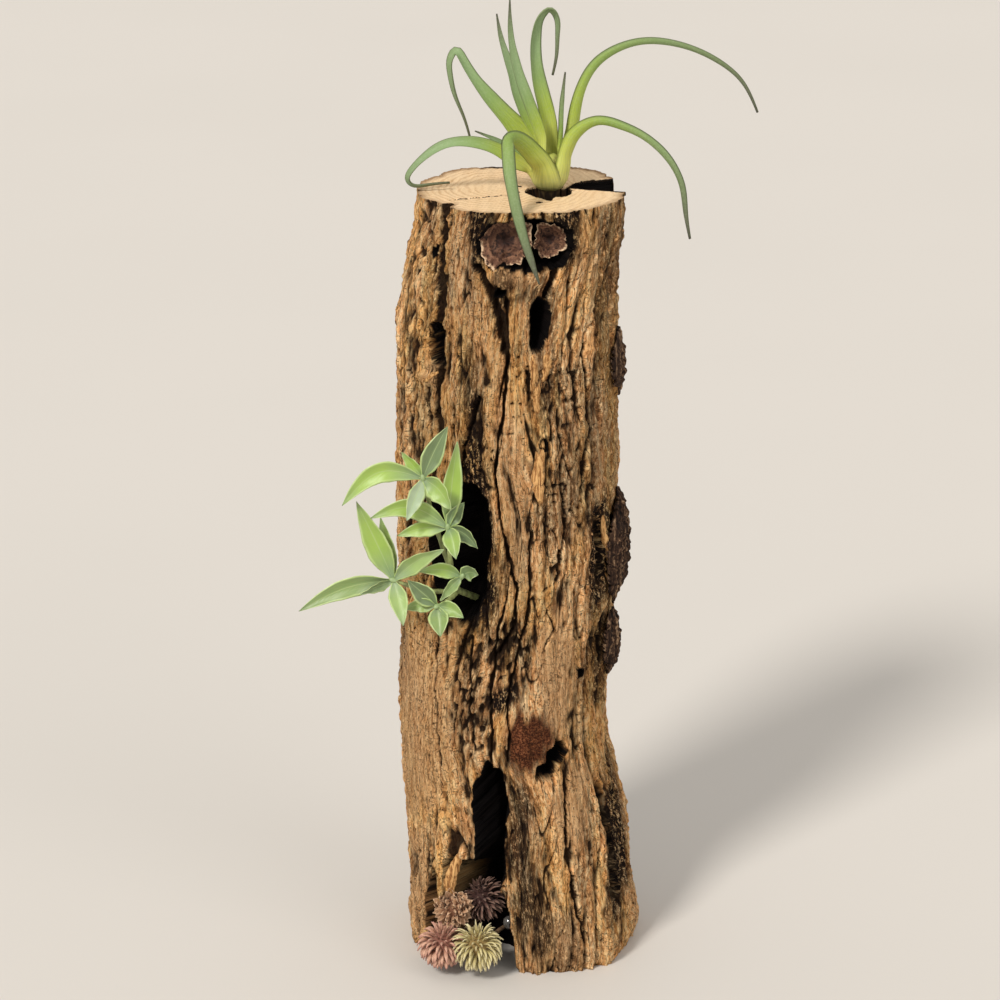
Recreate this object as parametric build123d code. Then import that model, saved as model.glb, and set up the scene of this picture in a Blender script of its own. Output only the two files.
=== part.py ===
"""Air plant holder: a weathered trunk that stands on its sawn base.

An air plant drops into a natural pocket in the sawn top, a leafy sprig pushes into a drilled hole inside the
side hollow, and four dry flower heads are glued in the hollow at the foot. Loose bark clings to the right side
and shelf fungus grows in the knot. Millimetres, +Z up, -Y towards the viewer, origin at the base's middle.
"""
from build123d import *

import os
from math import acos, cos, exp, pi, radians, sin, sqrt

os.makedirs("parts", exist_ok=True)

# Sizes shared by the whole part
OVERRUN = 3.0  # how far a cut runs past the face that it opens
SEAT_GAP = 0.3  # clearance between a piece and the wood that carries it
VIEW_AXIS = Vector(0, 1, 0)
GOLDEN_TURN = pi * (3 - sqrt(5))

# Trunk
TRUNK_HEIGHT = 300.0
TRUNK_WIDTH = 80.0
TRUNK_SQUARENESS = 2.5  # exponent of the section's rounded outline
SECTION_POINTS = 30
# Height as a share of the trunk's height, then centre x and y, half width and half depth as shares of its width
TRUNK_SECTION_SHARES = [
    (0.00, 0.010, 0.005, 0.535, 0.475),
    (0.05, 0.000, 0.000, 0.548, 0.482),
    (0.12, -0.022, 0.000, 0.540, 0.475),
    (0.20, -0.050, 0.000, 0.525, 0.465),
    (0.28, -0.093, 0.000, 0.492, 0.455),
    (0.36, -0.100, 0.000, 0.490, 0.450),
    (0.48, -0.086, 0.000, 0.505, 0.450),
    (0.60, -0.078, 0.000, 0.508, 0.450),
    (0.72, -0.078, 0.005, 0.510, 0.448),
    (0.84, -0.076, 0.010, 0.500, 0.438),
    (0.92, -0.045, 0.020, 0.480, 0.425),
    (1.00, -0.012, 0.022, 0.475, 0.415),
]
# Furrows between the trunk's lobes: turn at the foot and at the top, half width in degrees
FURROW_TURNS = [(252, 213, 11), (338, 322, 13), (40, 24, 12), (75, 92, 14), (128, 118, 12), (170, 150, 13)]
FURROW_DEPTH_SHARES = [0.040, 0.025, 0.035, 0.045, 0.030, 0.030]  # of the trunk's width

# Smooth outlines of the hollows: across and up, as shares of half the hollow's width and height
RAGGED_SHARES = [
    (0.95, 0.05), (0.82, 0.52), (0.42, 0.86), (0.10, 1.00), (-0.28, 0.80), (-0.66, 0.62),
    (-0.98, 0.12), (-0.84, -0.40), (-0.60, -0.82), (-0.05, -0.98), (0.48, -0.90), (0.90, -0.46),
]
TALL_SHARES = [
    (0.92, -0.10), (1.00, 0.42), (0.72, 0.84), (0.30, 0.90), (0.02, 1.00), (-0.45, 0.88),
    (-0.90, 0.58), (-1.00, 0.05), (-0.86, -0.55), (-0.52, -0.96), (0.30, -1.00), (0.82, -0.62),
]
POCKET_SHARES = [
    (1.00, 0.10), (0.74, 0.66), (0.10, 0.95), (-0.55, 0.78), (-0.93, 0.30), (-0.96, -0.25),
    (-0.66, -0.72), (-0.30, -1.15), (0.10, -1.42), (0.26, -0.95), (0.66, -0.80), (0.95, -0.42),
]
FOOT_SHARES = [
    (0.00, -1.00), (0.60, -0.90), (0.96, -0.40), (1.00, 0.06), (0.98, 0.36), (0.82, 0.66), (0.52, 0.88),
    (0.12, 0.98), (-0.30, 1.00), (-0.70, 0.88), (-0.95, 0.58), (-1.00, 0.20), (-1.00, -0.30), (-0.60, -0.90),
]
CLEFT_SHARES = [(-1.0, -0.35), (-0.3, -0.75), (1.0, -0.95), (1.0, 0.70), (0.1, 1.00), (-0.7, 0.55)]

# Pocket and cleft in the sawn top
POCKET_X = 8.5
POCKET_Y = -1.5
POCKET_WIDTH = 17.2
POCKET_DEPTH = 36.0
POCKET_FLOOR_SHARE = 0.66
CLEFT_X = 29.0
CLEFT_Y = 6.5
CLEFT_LENGTH = 27.0
CLEFT_WIDTH = 17.0
CLEFT_DEPTH = 70.0
CLEFT_FLOOR_SHARE = 0.45
TOP_CRACK_LENGTH = 30.0
TOP_CRACK_WIDTH = 1.2
TOP_CRACK_DEPTH = 7.0
TOP_CRACK_TURN = 198
TOP_CRACK_START = 3.0  # from the pocket's wall
# Slots left by beetles in the sawn top, from the pocket's centre, as shares of the pocket's width
TOP_HOLE_SHARES = [(-0.62, 0.42), (-0.66, -0.02), (-0.20, -0.85)]
TOP_HOLE_WIDTH = 2.4
TOP_HOLE_DEPTH = 9.0

# Hollows in the bark: turn round the trunk, height share, then width, height and depth
KNOT_TURN = 274
KNOT_HEIGHT_SHARE = 0.963
KNOT_WIDTH = 37.0
KNOT_HEIGHT = 19.5
KNOT_DEPTH = 11.0
KNOT_FLOOR_SHARE = 0.88
SIDE_HOLLOW_TURN = 241
SIDE_HOLLOW_HEIGHT_SHARE = 0.577
SIDE_HOLLOW_WIDTH = 25.0
SIDE_HOLLOW_HEIGHT = 60.0
SIDE_HOLLOW_DEPTH = 24.0
SIDE_HOLLOW_FLOOR_SHARE = 0.55
SLOT_TURN = 256
SLOT_HEIGHT_SHARE = 0.200
SLOT_WIDTH = 13.5
SLOT_HEIGHT = 56.0
SLOT_DEPTH = 34.0
SLOT_FLOOR_SHARE = 0.60
FOOT_TURN = 237
FOOT_WIDTH = 37.0
FOOT_HEIGHT = 46.0
FOOT_DROP = 5.0  # how far below the base the middle of its outline lies
FOOT_DEPTH = 25.0
FOOT_FLOOR_SHARE = 0.82
# The smaller ones: turn, height share, lean in degrees
NOTCH_PLACES = [
    (227, 0.832, 4),  # left gallery
    (287, 0.867, -3),  # centre slit
    (299, 0.293, -38),  # wedge notch
    (329, 0.165, 4),  # right crevice
    (331, 0.550, 3),  # right recess
]
NOTCH_WIDTHS = [8.5, 6.5, 7.5, 9.0, 8.0]
NOTCH_HEIGHTS = [18.0, 19.0, 20.0, 74.0, 36.0]
NOTCH_DEPTHS = [12.0, 15.0, 9.0, 8.0, 7.0]
NOTCH_FLOOR_SHARE = 0.55
# Round holes left by beetles: turn and height share
BEETLE_PLACES = [(214, 0.943), (291, 0.710), (262, 0.905), (318, 0.402)]
BEETLE_DIAMETER = 3.4
BEETLE_DEPTH = 8.0

# Loose bark: turn range, height share range
STRIP_NAMES = ["upper", "middle", "lower"]
STRIP_TURNS = [(336, 368), (334, 372), (337, 366)]
STRIP_HEIGHT_SHARES = [(0.742, 0.832), (0.470, 0.622), (0.368, 0.466)]
STRIP_THICKNESSES = [3.4, 6.2, 5.0]
STRIP_LEANS = [-4, 5, -7]  # how far the strip drifts round the trunk from foot to top, in degrees
STRIP_PROFILE_SHARES = [
    (0.0, 0.10, 0.12), (0.22, 0.72, 0.80), (0.50, 1.00, 1.00), (0.80, 0.80, 0.78), (1.0, 0.16, 0.14),
]

# Shelf fungus in the knot, placed from the knot's centre as shares of its width and height
FUNGUS_NAMES = ["large", "small"]
FUNGUS_PLACE_SHARES = [(-0.180, 0.01), (0.235, 0.01)]
FUNGUS_WIDTHS = [15.5, 11.0]
FUNGUS_HEIGHTS = [13.5, 10.5]
FUNGUS_REACHES = [9.0, 6.5]
FUNGUS_WAVES = 7
FUNGUS_WAVE_SHARE = 0.05
FUNGUS_RING_SHARES = [(0.0, 0.50), (0.5, 0.82), (1.0, 1.00)]
FUNGUS_CUP_SHARES = [(0.40, 0.30), (0.75, 0.66), (1.05, 0.94)]

# Air plant
PLANT_OFFSET_SHARE = 0.03  # to the right of the pocket's middle, as a share of its width
PLANT_STUB_DEPTH = 16.0
PLANT_STUB_TIP_RADIUS = 2.6
PLANT_NECK_RADIUS = 4.0
PLANT_BULB_RADIUS = 5.6
PLANT_BULB_HEIGHT = 13.0
BULB_SHARES = [(1.0, 0.35), (0.9, 0.72), (0.6, 1.0)]  # outline above the neck, out and up
PLANT_REACH = 100.0
LEAF_THICKNESS = 1.8
LEAF_THICKNESS_SHARE = 0.42  # of the leaf's width, where that is less
LEAF_STATIONS = 27
# Middle line of each leaf from the middle of the plant's foot, as shares of the plant's reach
LEAF_ROUTE_SHARES = {
    "droop_front": [
        (0.000, -0.046, 0.035), (-0.020, -0.078, 0.092), (-0.058, -0.110, 0.154), (-0.105, -0.162, 0.215),
        (-0.134, -0.205, 0.240), (-0.149, -0.250, 0.238), (-0.151, -0.290, 0.211), (-0.146, -0.335, 0.148),
        (-0.130, -0.372, 0.060), (-0.109, -0.392, -0.028), (-0.087, -0.400, -0.104), (-0.040, -0.402, -0.240),
    ],
    "arch_low_right": [
        (0.043, -0.020, 0.045), (0.056, -0.030, 0.118), (0.076, -0.036, 0.188), (0.118, -0.042, 0.237),
        (0.174, -0.054, 0.264), (0.246, -0.070, 0.254), (0.322, -0.090, 0.226), (0.386, -0.105, 0.182),
        (0.442, -0.120, 0.118), (0.475, -0.132, 0.046), (0.489, -0.140, -0.048), (0.508, -0.147, -0.148),
    ],
    "curl_left": [
        (-0.044, -0.018, 0.036), (-0.075, -0.036, 0.072), (-0.130, -0.052, 0.120), (-0.207, -0.062, 0.169),
        (-0.290, -0.070, 0.191), (-0.373, -0.075, 0.185), (-0.446, -0.077, 0.143), (-0.497, -0.073, 0.092),
        (-0.515, -0.065, 0.050), (-0.500, -0.055, 0.026), (-0.446, -0.045, 0.022), (-0.362, -0.030, 0.026),
    ],
    "arch_high_right": [
        (0.042, 0.020, 0.060), (0.068, 0.028, 0.128), (0.092, 0.034, 0.268), (0.118, 0.040, 0.370),
        (0.163, 0.050, 0.446), (0.239, 0.062, 0.500), (0.330, 0.076, 0.525), (0.431, 0.090, 0.518),
        (0.525, 0.101, 0.490), (0.616, 0.111, 0.442), (0.692, 0.120, 0.378), (0.761, 0.130, 0.251),
    ],
    "bent_left": [
        (-0.036, 0.026, 0.058), (-0.066, 0.042, 0.137), (-0.130, 0.056, 0.225), (-0.214, 0.072, 0.315),
        (-0.279, 0.090, 0.395), (-0.317, 0.102, 0.458), (-0.338, 0.112, 0.482), (-0.356, 0.122, 0.462),
        (-0.362, 0.132, 0.394), (-0.344, 0.142, 0.305), (-0.315, 0.150, 0.227), (-0.293, 0.156, 0.147),
    ],
    "upright_front": [
        (-0.014, -0.020, 0.118), (-0.032, -0.022, 0.200), (-0.076, -0.024, 0.327), (-0.118, -0.026, 0.452),
        (-0.141, -0.026, 0.570), (-0.145, -0.024, 0.700),
    ],
    "upright_back": [
        (-0.014, 0.020, 0.118), (-0.050, 0.040, 0.197), (-0.105, 0.064, 0.308), (-0.141, 0.082, 0.426),
        (-0.174, 0.101, 0.525), (-0.192, 0.120, 0.617),
    ],
    "loop": [
        (0.016, 0.012, 0.118), (0.006, 0.014, 0.180), (-0.011, 0.018, 0.273), (-0.040, 0.024, 0.388),
        (-0.054, 0.030, 0.491), (-0.049, 0.038, 0.575), (-0.025, 0.046, 0.632), (0.000, 0.052, 0.646),
        (0.020, 0.058, 0.624), (0.026, 0.064, 0.555), (0.022, 0.068, 0.479), (0.007, 0.072, 0.403),
    ],
    "spike_left": [
        (-0.038, -0.002, 0.088), (-0.085, -0.012, 0.122), (-0.165, -0.020, 0.172), (-0.270, -0.026, 0.220),
    ],
    "spike_right": [
        (0.026, -0.004, 0.105), (0.038, 0.000, 0.180), (0.041, 0.002, 0.265), (0.054, 0.006, 0.430),
    ],
}
# Width of each leaf from foot to tip, as shares of the plant's reach, spread evenly along it
LEAF_WIDTH_SHARES = {
    "droop_front": [0.040, 0.070, 0.064, 0.048, 0.042, 0.040, 0.037, 0.032, 0.024, 0.006],
    "arch_low_right": [0.036, 0.052, 0.046, 0.036, 0.031, 0.029, 0.027, 0.023, 0.018, 0.006],
    "curl_left": [0.032, 0.048, 0.046, 0.039, 0.034, 0.030, 0.024, 0.020, 0.016, 0.005],
    "arch_high_right": [0.034, 0.044, 0.040, 0.036, 0.033, 0.028, 0.025, 0.021, 0.015, 0.005],
    "bent_left": [0.034, 0.062, 0.056, 0.044, 0.034, 0.028, 0.024, 0.020, 0.014, 0.005],
    "upright_front": [0.024, 0.036, 0.038, 0.034, 0.026, 0.016, 0.005],
    "upright_back": [0.024, 0.038, 0.040, 0.034, 0.026, 0.016, 0.005],
    "loop": [0.024, 0.038, 0.042, 0.038, 0.036, 0.032, 0.026, 0.020, 0.014, 0.005],
    "spike_left": [0.022, 0.024, 0.018, 0.005],
    "spike_right": [0.018, 0.020, 0.018, 0.005],
}
# Turn of each leaf's face away from the viewer, in degrees, at its foot and at its tip
LEAF_ROLLS = {
    "droop_front": (10, 10), "arch_low_right": (30, 55), "curl_left": (30, 70), "arch_high_right": (30, 50),
    "bent_left": (20, 80), "upright_front": (20, 20), "upright_back": (15, 15), "loop": (40, 90),
    "spike_left": (10, 10), "spike_right": (20, 20),
}

# Sprig
# Where the stem leaves the wood: across, up and out from the side hollow's middle, as shares of its sizes
SPRIG_ROOT_SHARES = (-0.047, -0.36, -0.40)
SPRIG_PULL_DIRECTION = Vector(-0.62, -0.60, 0.51).normalized()
SPRIG_PEG_LENGTH = 14.0
SPRIG_STEM_RADIUS = 1.3
SPRIG_BRANCH_RADIUS = 0.8
SPRIG_SOCKET_GAP = 0.3
SPRIG_REACH = 60.0
SPRAY_HUB_RADIUS = 2.0
SPRAY_PEG_GAP = 0.15
SPRAY_LEAF_THICKNESS = 0.9
SPRAY_LEAF_WIDTH = 8.2
SPRAY_LEAF_PROFILE_SHARES = [0.30, 0.72, 0.97, 1.00, 0.88, 0.62, 0.34, 0.08]
# How far out the stem forks, and its branches' corners from the peg's root, as shares of the sprig's reach
SPRIG_FORK_SHARE = 0.11
SPRIG_BRANCH_SHARES = {
    "a": [(-0.18, -0.17, 0.47), (-0.265, -0.320, 0.880)],
    "b": [(-0.10, -0.19, 0.27), (-0.118, -0.275, 0.545)],
    "c": [(-0.26, -0.23, 0.12), (-0.450, -0.260, 0.195)],
    "d": [(-0.07, -0.18, 0.13), (-0.035, -0.235, 0.210)],
    "e": [(-0.12, -0.20, 0.04), (-0.185, -0.285, 0.035)],
}
# Leaves of each spray: hub to tip across, forward and up, rise of the arch at half way, width share
SPRAY_LEAF_SHARES = {
    "a": [
        (-0.49, -0.02, -0.17, 0.13, 1.0), (-0.13, 0.05, 0.15, 0.00, 0.62), (0.15, 0.03, 0.32, 0.02, 1.0),
        (0.17, -0.12, -0.16, 0.03, 1.15), (-0.10, -0.04, -0.26, 0.00, 0.8),
    ],
    "b": [
        (0.06, 0.04, 0.54, 0.02, 1.0), (-0.47, -0.03, 0.07, 0.10, 1.0), (0.10, 0.01, 0.16, 0.01, 0.75),
        (0.05, -0.14, -0.15, 0.03, 0.9), (0.18, -0.02, -0.13, 0.03, 0.8), (-0.31, 0.04, -0.07, 0.02, 0.8),
    ],
    "c": [
        (-0.22, -0.02, 0.52, 0.00, 1.2), (-0.58, -0.06, -0.18, 0.05, 1.0), (0.31, -0.13, 0.25, 0.03, 0.95),
        (0.06, -0.15, -0.24, 0.02, 0.9), (-0.08, 0.09, 0.38, 0.00, 0.8), (-0.20, -0.08, -0.06, 0.00, 0.55),
    ],
    "d": [
        (-0.26, -0.05, 0.05, 0.03, 0.75), (0.10, -0.05, 0.03, 0.02, 0.85), (-0.13, -0.10, -0.12, 0.01, 0.6),
    ],
    "e": [
        (-0.18, 0.00, 0.17, 0.00, 1.0), (0.02, -0.10, -0.16, 0.01, 1.0), (-0.20, 0.02, -0.03, 0.02, 0.75),
        (0.16, -0.07, -0.05, 0.02, 0.8),
    ],
}

# Dry flower heads in the foot hollow: across and up as shares of its width and height, out from its floor
HEAD_NAMES = ["mauve", "tan", "rose", "green"]
HEAD_PLACE_SHARES = [(-0.015, 0.550), (-0.150, 0.555), (-0.176, 0.270), (0.176, 0.290)]
HEAD_OUTS = [13.5, 26.6, 32.5, 28.0]
HEAD_RADII = [9.5, 8.2, 9.8, 10.2]
HEAD_CORE_SHARE = 0.70
HEAD_BACK_SHARE = 0.35  # where the back of the head is cut flat
HEAD_BRACTS = 44
HEAD_COVER_SHARE = 1.45  # how far back the bracts go, in radii from the front of the head
BRACT_ROOT_SHARE = 0.55
BRACT_WIDTH_SHARE = 0.30
HEAD_GAP = 0.3
HEAD_FLOOR_GAP = 0.8
FLOWER_STEM_RADIUS = 0.9
GLUE_PLACE_SHARES = (0.356, 0.435)
GLUE_OUT = 16.0
GLUE_RADIUS = 2.6


def blend_rows(table, key):
    """Row of the table at this height share, blended between its neighbours."""
    pairs = list(zip(table, table[1:]))
    low, high = next((pair for pair in pairs if key <= pair[1][0]), pairs[-1])
    share = (key - low[0]) / (high[0] - low[0])
    return [a + (b - a) * share for a, b in zip(low, high)]


def furrow_share(turn, height_share):
    """How far the furrows pull the outline in at this turn, as a share of the trunk's width."""
    total = 0
    for (foot_turn, top_turn, half_width), depth_share in zip(FURROW_TURNS, FURROW_DEPTH_SHARES):
        middle = foot_turn + (top_turn - foot_turn) * height_share
        off = (turn - middle + 180) % 360 - 180
        total += depth_share * exp(-((off / half_width) ** 2))
    return total


def bark_point(turn, height_share, extra=0):
    """Point of the bark at a turn in degrees round the trunk, with extra added outwards."""
    _, centre_x, centre_y, half_width, half_depth = blend_rows(TRUNK_SECTION_SHARES, height_share)
    across, deep = cos(radians(turn)), sin(radians(turn))
    power = TRUNK_SQUARENESS
    radius_share = (abs(across / half_width) ** power + abs(deep / half_depth) ** power) ** (-1 / power)
    radius = (radius_share - furrow_share(turn, height_share)) * TRUNK_WIDTH + extra
    return Vector(
        centre_x * TRUNK_WIDTH + radius * across,
        centre_y * TRUNK_WIDTH + radius * deep,
        height_share * TRUNK_HEIGHT,
    )


def bark_plane(turn, height_share, lean=0):
    """Plane on the bark that faces outwards, with its second direction up, leaned by some degrees."""
    outward = Vector(cos(radians(turn)), sin(radians(turn)), 0)
    sideways = Vector(-sin(radians(turn)), cos(radians(turn)), 0)
    across = sideways * cos(radians(lean)) + Vector(0, 0, sin(radians(lean)))
    return Plane(bark_point(turn, height_share), x_dir=across, z_dir=outward)


def ring(points):
    """Smooth closed wire through the points, all of them evenly spaced in its parameter."""
    steps = [i / len(points) for i in range(len(points) + 1)]
    return Wire([Edge.make_spline(points, periodic=True, parameters=steps)])


def trunk_block(extra=0):
    """The trunk's outer body with no hollows, grown by extra."""
    turns = [360 * i / SECTION_POINTS for i in range(SECTION_POINTS)]
    outlines = [[bark_point(turn, row[0], extra) for turn in turns] for row in TRUNK_SECTION_SHARES]
    return Solid.make_loft([ring(outline) for outline in outlines])


def hollow(place, outline_shares, width, height, depth, floor_share):
    """Cutter for a hollow: a smooth outline at its mouth on the place, drawn in towards its floor."""
    rings = []
    for out in (OVERRUN, -depth):
        grow = 1 + (floor_share - 1) * -out / depth
        points = [Vector(u * width * grow / 2, v * height * grow / 2, out) for u, v in outline_shares]
        rings.append(ring([place.from_local_coords(point) for point in points]))
    return Solid.make_loft(rings, ruled=True)


def drilled(place, diameter, depth):
    """Cutter for a round hole that runs in from the place."""
    start = place.offset(OVERRUN)
    return Solid.make_cylinder(diameter / 2, depth + OVERRUN, Plane(start.origin, z_dir=-start.z_dir))


def top_plane(x, y, turn=0):
    """Plane on the sawn top."""
    return Plane((x, y, TRUNK_HEIGHT), x_dir=(cos(radians(turn)), sin(radians(turn)), 0), z_dir=(0, 0, 1))


def knot_place():
    return bark_plane(KNOT_TURN, KNOT_HEIGHT_SHARE)


def foot_place():
    """Plane on the bark at floor level, in front of the foot hollow."""
    return bark_plane(FOOT_TURN, 0)


def side_hollow_place():
    return bark_plane(SIDE_HOLLOW_TURN, SIDE_HOLLOW_HEIGHT_SHARE)


def sprig_root():
    """Where the sprig's stem leaves the wood, in the side hollow."""
    across, up, out = SPRIG_ROOT_SHARES
    root = Vector(across * SIDE_HOLLOW_WIDTH, up * SIDE_HOLLOW_HEIGHT, out * SIDE_HOLLOW_DEPTH)
    return side_hollow_place().from_local_coords(root)


def sprig_socket():
    """Cutter for the drilled hole that the sprig's stem pushes into."""
    start = sprig_root() + SPRIG_PULL_DIRECTION * OVERRUN
    length = SPRIG_PEG_LENGTH + OVERRUN + SPRIG_SOCKET_GAP
    radius = SPRIG_STEM_RADIUS + SPRIG_SOCKET_GAP
    return Solid.make_cylinder(radius, length, Plane(start, z_dir=-SPRIG_PULL_DIRECTION))


def top_cuts():
    """The pocket, the cleft, the drying crack and the beetle slots in the sawn top."""
    pocket = hollow(
        top_plane(POCKET_X, POCKET_Y),
        POCKET_SHARES, POCKET_WIDTH, POCKET_WIDTH, POCKET_DEPTH, POCKET_FLOOR_SHARE,
    )
    cleft = hollow(
        top_plane(CLEFT_X, CLEFT_Y),
        CLEFT_SHARES, CLEFT_LENGTH, CLEFT_WIDTH, CLEFT_DEPTH, CLEFT_FLOOR_SHARE,
    )
    along = top_plane(POCKET_X, POCKET_Y, TOP_CRACK_TURN)
    middle = along.from_local_coords(Vector(POCKET_WIDTH / 2 + TOP_CRACK_START + TOP_CRACK_LENGTH / 2, 0, 0))
    crack = hollow(
        Plane(middle, x_dir=along.x_dir, z_dir=along.z_dir),
        TALL_SHARES, TOP_CRACK_LENGTH, TOP_CRACK_WIDTH, TOP_CRACK_DEPTH, CLEFT_FLOOR_SHARE,
    )
    places = [top_plane(POCKET_X + u * POCKET_WIDTH, POCKET_Y + v * POCKET_WIDTH) for u, v in TOP_HOLE_SHARES]
    holes = [drilled(place, TOP_HOLE_WIDTH, TOP_HOLE_DEPTH) for place in places]
    return [pocket, cleft, crack, *holes]


def bark_cuts():
    """The hollows, notches and beetle holes in the bark."""
    knot = hollow(knot_place(), RAGGED_SHARES, KNOT_WIDTH, KNOT_HEIGHT, KNOT_DEPTH, KNOT_FLOOR_SHARE)
    side = hollow(
        side_hollow_place(),
        TALL_SHARES, SIDE_HOLLOW_WIDTH, SIDE_HOLLOW_HEIGHT, SIDE_HOLLOW_DEPTH, SIDE_HOLLOW_FLOOR_SHARE,
    )
    slot = hollow(
        bark_plane(SLOT_TURN, SLOT_HEIGHT_SHARE),
        TALL_SHARES, SLOT_WIDTH, SLOT_HEIGHT, SLOT_DEPTH, SLOT_FLOOR_SHARE,
    )
    foot_middle = foot_place().from_local_coords(Vector(0, -FOOT_DROP, 0))
    foot = hollow(
        Plane(foot_middle, x_dir=foot_place().x_dir, z_dir=foot_place().z_dir),
        FOOT_SHARES, FOOT_WIDTH, 2 * (FOOT_HEIGHT + FOOT_DROP), FOOT_DEPTH, FOOT_FLOOR_SHARE,
    )
    notches = [
        hollow(bark_plane(*place), TALL_SHARES, width, height, depth, NOTCH_FLOOR_SHARE)
        for place, width, height, depth in zip(NOTCH_PLACES, NOTCH_WIDTHS, NOTCH_HEIGHTS, NOTCH_DEPTHS)
    ]
    beetles = [drilled(bark_plane(*place), BEETLE_DIAMETER, BEETLE_DEPTH) for place in BEETLE_PLACES]
    return [knot, side, slot, foot, *notches, *beetles]


def log_trunk():
    """The wood, with every hollow cut."""
    return trunk_block().cut(*top_cuts(), *bark_cuts(), sprig_socket())


def bark_strip(number):
    """A slab of loose bark, thick in the middle, that lies just off the trunk."""
    first_turn, last_turn = STRIP_TURNS[number]
    low, high = STRIP_HEIGHT_SHARES[number]
    sections = []
    for along, width_share, thickness_share in STRIP_PROFILE_SHARES:
        height_share = low + (high - low) * along
        middle = (first_turn + last_turn) / 2 + STRIP_LEANS[number] * (along - 1 / 2)
        half = (last_turn - first_turn) / 2 * width_share
        left, right = (bark_point(middle + side * half, height_share, SEAT_GAP) for side in (-1, 1))
        outer = bark_point(middle, height_share, SEAT_GAP + STRIP_THICKNESSES[number] * thickness_share)
        inner = bark_point(middle, height_share)
        inner = inner + (inner - outer) * (1 / 2)
        bulge = Edge.make_three_point_arc(left, outer, right)
        back = Edge.make_three_point_arc(right, inner, left)
        sections.append(Wire([bulge, back]))
    return Solid.make_loft(sections).cut(trunk_block(SEAT_GAP))


def fungus_shelf(number):
    """A cupped fungus with a wavy rim, its back just off the floor of the knot."""
    across, up = FUNGUS_PLACE_SHARES[number]
    width, height, reach = FUNGUS_WIDTHS[number], FUNGUS_HEIGHTS[number], FUNGUS_REACHES[number]
    centre = Vector(across * KNOT_WIDTH, up * KNOT_HEIGHT, SEAT_GAP - KNOT_DEPTH)
    place = knot_place()

    def wavy_ring(out_share, size_share):
        points = []
        for i in range(4 * FUNGUS_WAVES):
            turn = 2 * pi * i / (4 * FUNGUS_WAVES)
            grow = (1 + FUNGUS_WAVE_SHARE * size_share * sin(FUNGUS_WAVES * turn)) * size_share / 2
            offset = Vector(cos(turn) * width * grow, sin(turn) * height * grow, out_share * reach)
            points.append(centre + offset)
        return ring([place.from_local_coords(point) for point in points])

    body = Solid.make_loft([wavy_ring(*row) for row in FUNGUS_RING_SHARES])
    return body.cut(Solid.make_loft([wavy_ring(*row) for row in FUNGUS_CUP_SHARES]))


def blade(route, widths, thickness, thickness_share, rolls, stations):
    """A leaf: lens-shaped sections along a smooth line, with its widths spread evenly from foot to tip."""
    line = Edge.make_spline(route)
    sections = []
    for i in range(stations):
        along = i / (stations - 1)
        step = min(int(along * (len(widths) - 1)), len(widths) - 2)
        width = widths[step] + (widths[step + 1] - widths[step]) * (along * (len(widths) - 1) - step)
        middle, tangent = line.position_at(along), line.tangent_at(along)
        flat = tangent.cross(VIEW_AXIS).normalized()
        deep = tangent.cross(flat).normalized()
        roll = radians(rolls[0] + (rolls[1] - rolls[0]) * along)
        across = flat * cos(roll) + deep * sin(roll)
        raised = tangent.cross(across).normalized() * min(thickness, width * thickness_share) / 2
        left, right = middle - across * width / 2, middle + across * width / 2
        sections.append(
            Wire([
                Edge.make_three_point_arc(left, middle + raised, right),
                Edge.make_three_point_arc(right, middle - raised, left),
            ])
        )
    return Solid.make_loft(sections)


def plant_origin():
    """Middle of the air plant's foot, leaned against the pocket's back wall at the sawn top."""
    back = POCKET_Y + max(v for _, v in POCKET_SHARES) * POCKET_WIDTH / 2
    middle = POCKET_X + PLANT_OFFSET_SHARE * POCKET_WIDTH
    return Vector(middle, back - SEAT_GAP - PLANT_NECK_RADIUS, TRUNK_HEIGHT)


def plant_base():
    """The plant's bulb, with the stub that drops into the pocket."""
    profile = [
        (0, -PLANT_STUB_DEPTH), (PLANT_STUB_TIP_RADIUS, -PLANT_STUB_DEPTH), (PLANT_NECK_RADIUS, 0),
        *((PLANT_BULB_RADIUS * out, PLANT_BULB_HEIGHT * up) for out, up in BULB_SHARES),
        (0, PLANT_BULB_HEIGHT),
    ]
    face = Face(Wire.make_polygon([Vector(r, 0, z) for r, z in profile]))
    return Solid.revolve(face, 360, Axis.Z).moved(Location(plant_origin()))


def largest(shape):
    """The largest solid of a cut shape."""
    return max(shape.solids(), key=lambda solid: solid.volume)


def air_plant_leaf(name, base):
    """A leaf of the air plant, cut off where it meets the bulb."""
    route = [plant_origin() + Vector(*point) * PLANT_REACH for point in LEAF_ROUTE_SHARES[name]]
    widths = [share * PLANT_REACH for share in LEAF_WIDTH_SHARES[name]]
    leaf = blade(route, widths, LEAF_THICKNESS, LEAF_THICKNESS_SHARE, LEAF_ROLLS[name], LEAF_STATIONS)
    return largest(leaf.cut(base))


def rod(points, radius):
    """A round rod along straight runs, with a ball at each corner."""
    pieces = []
    for start, end in zip(points, points[1:]):
        run = end - start
        pieces.append(Solid.make_cylinder(radius, run.length, Plane(start, z_dir=run)))
    for corner in points[1:-1]:
        pieces.append(Solid.make_sphere(radius, Plane(corner), -90, 90, 360))
    return pieces


def sprig_point(shares):
    return sprig_root() + Vector(*shares) * SPRIG_REACH


def sprig_branches():
    """Points along each branch, from the fork to the middle of its spray's hub."""
    fork = sprig_root() + SPRIG_PULL_DIRECTION * SPRIG_FORK_SHARE * SPRIG_REACH
    return {name: [fork, *(sprig_point(p) for p in shares)] for name, shares in SPRIG_BRANCH_SHARES.items()}


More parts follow.
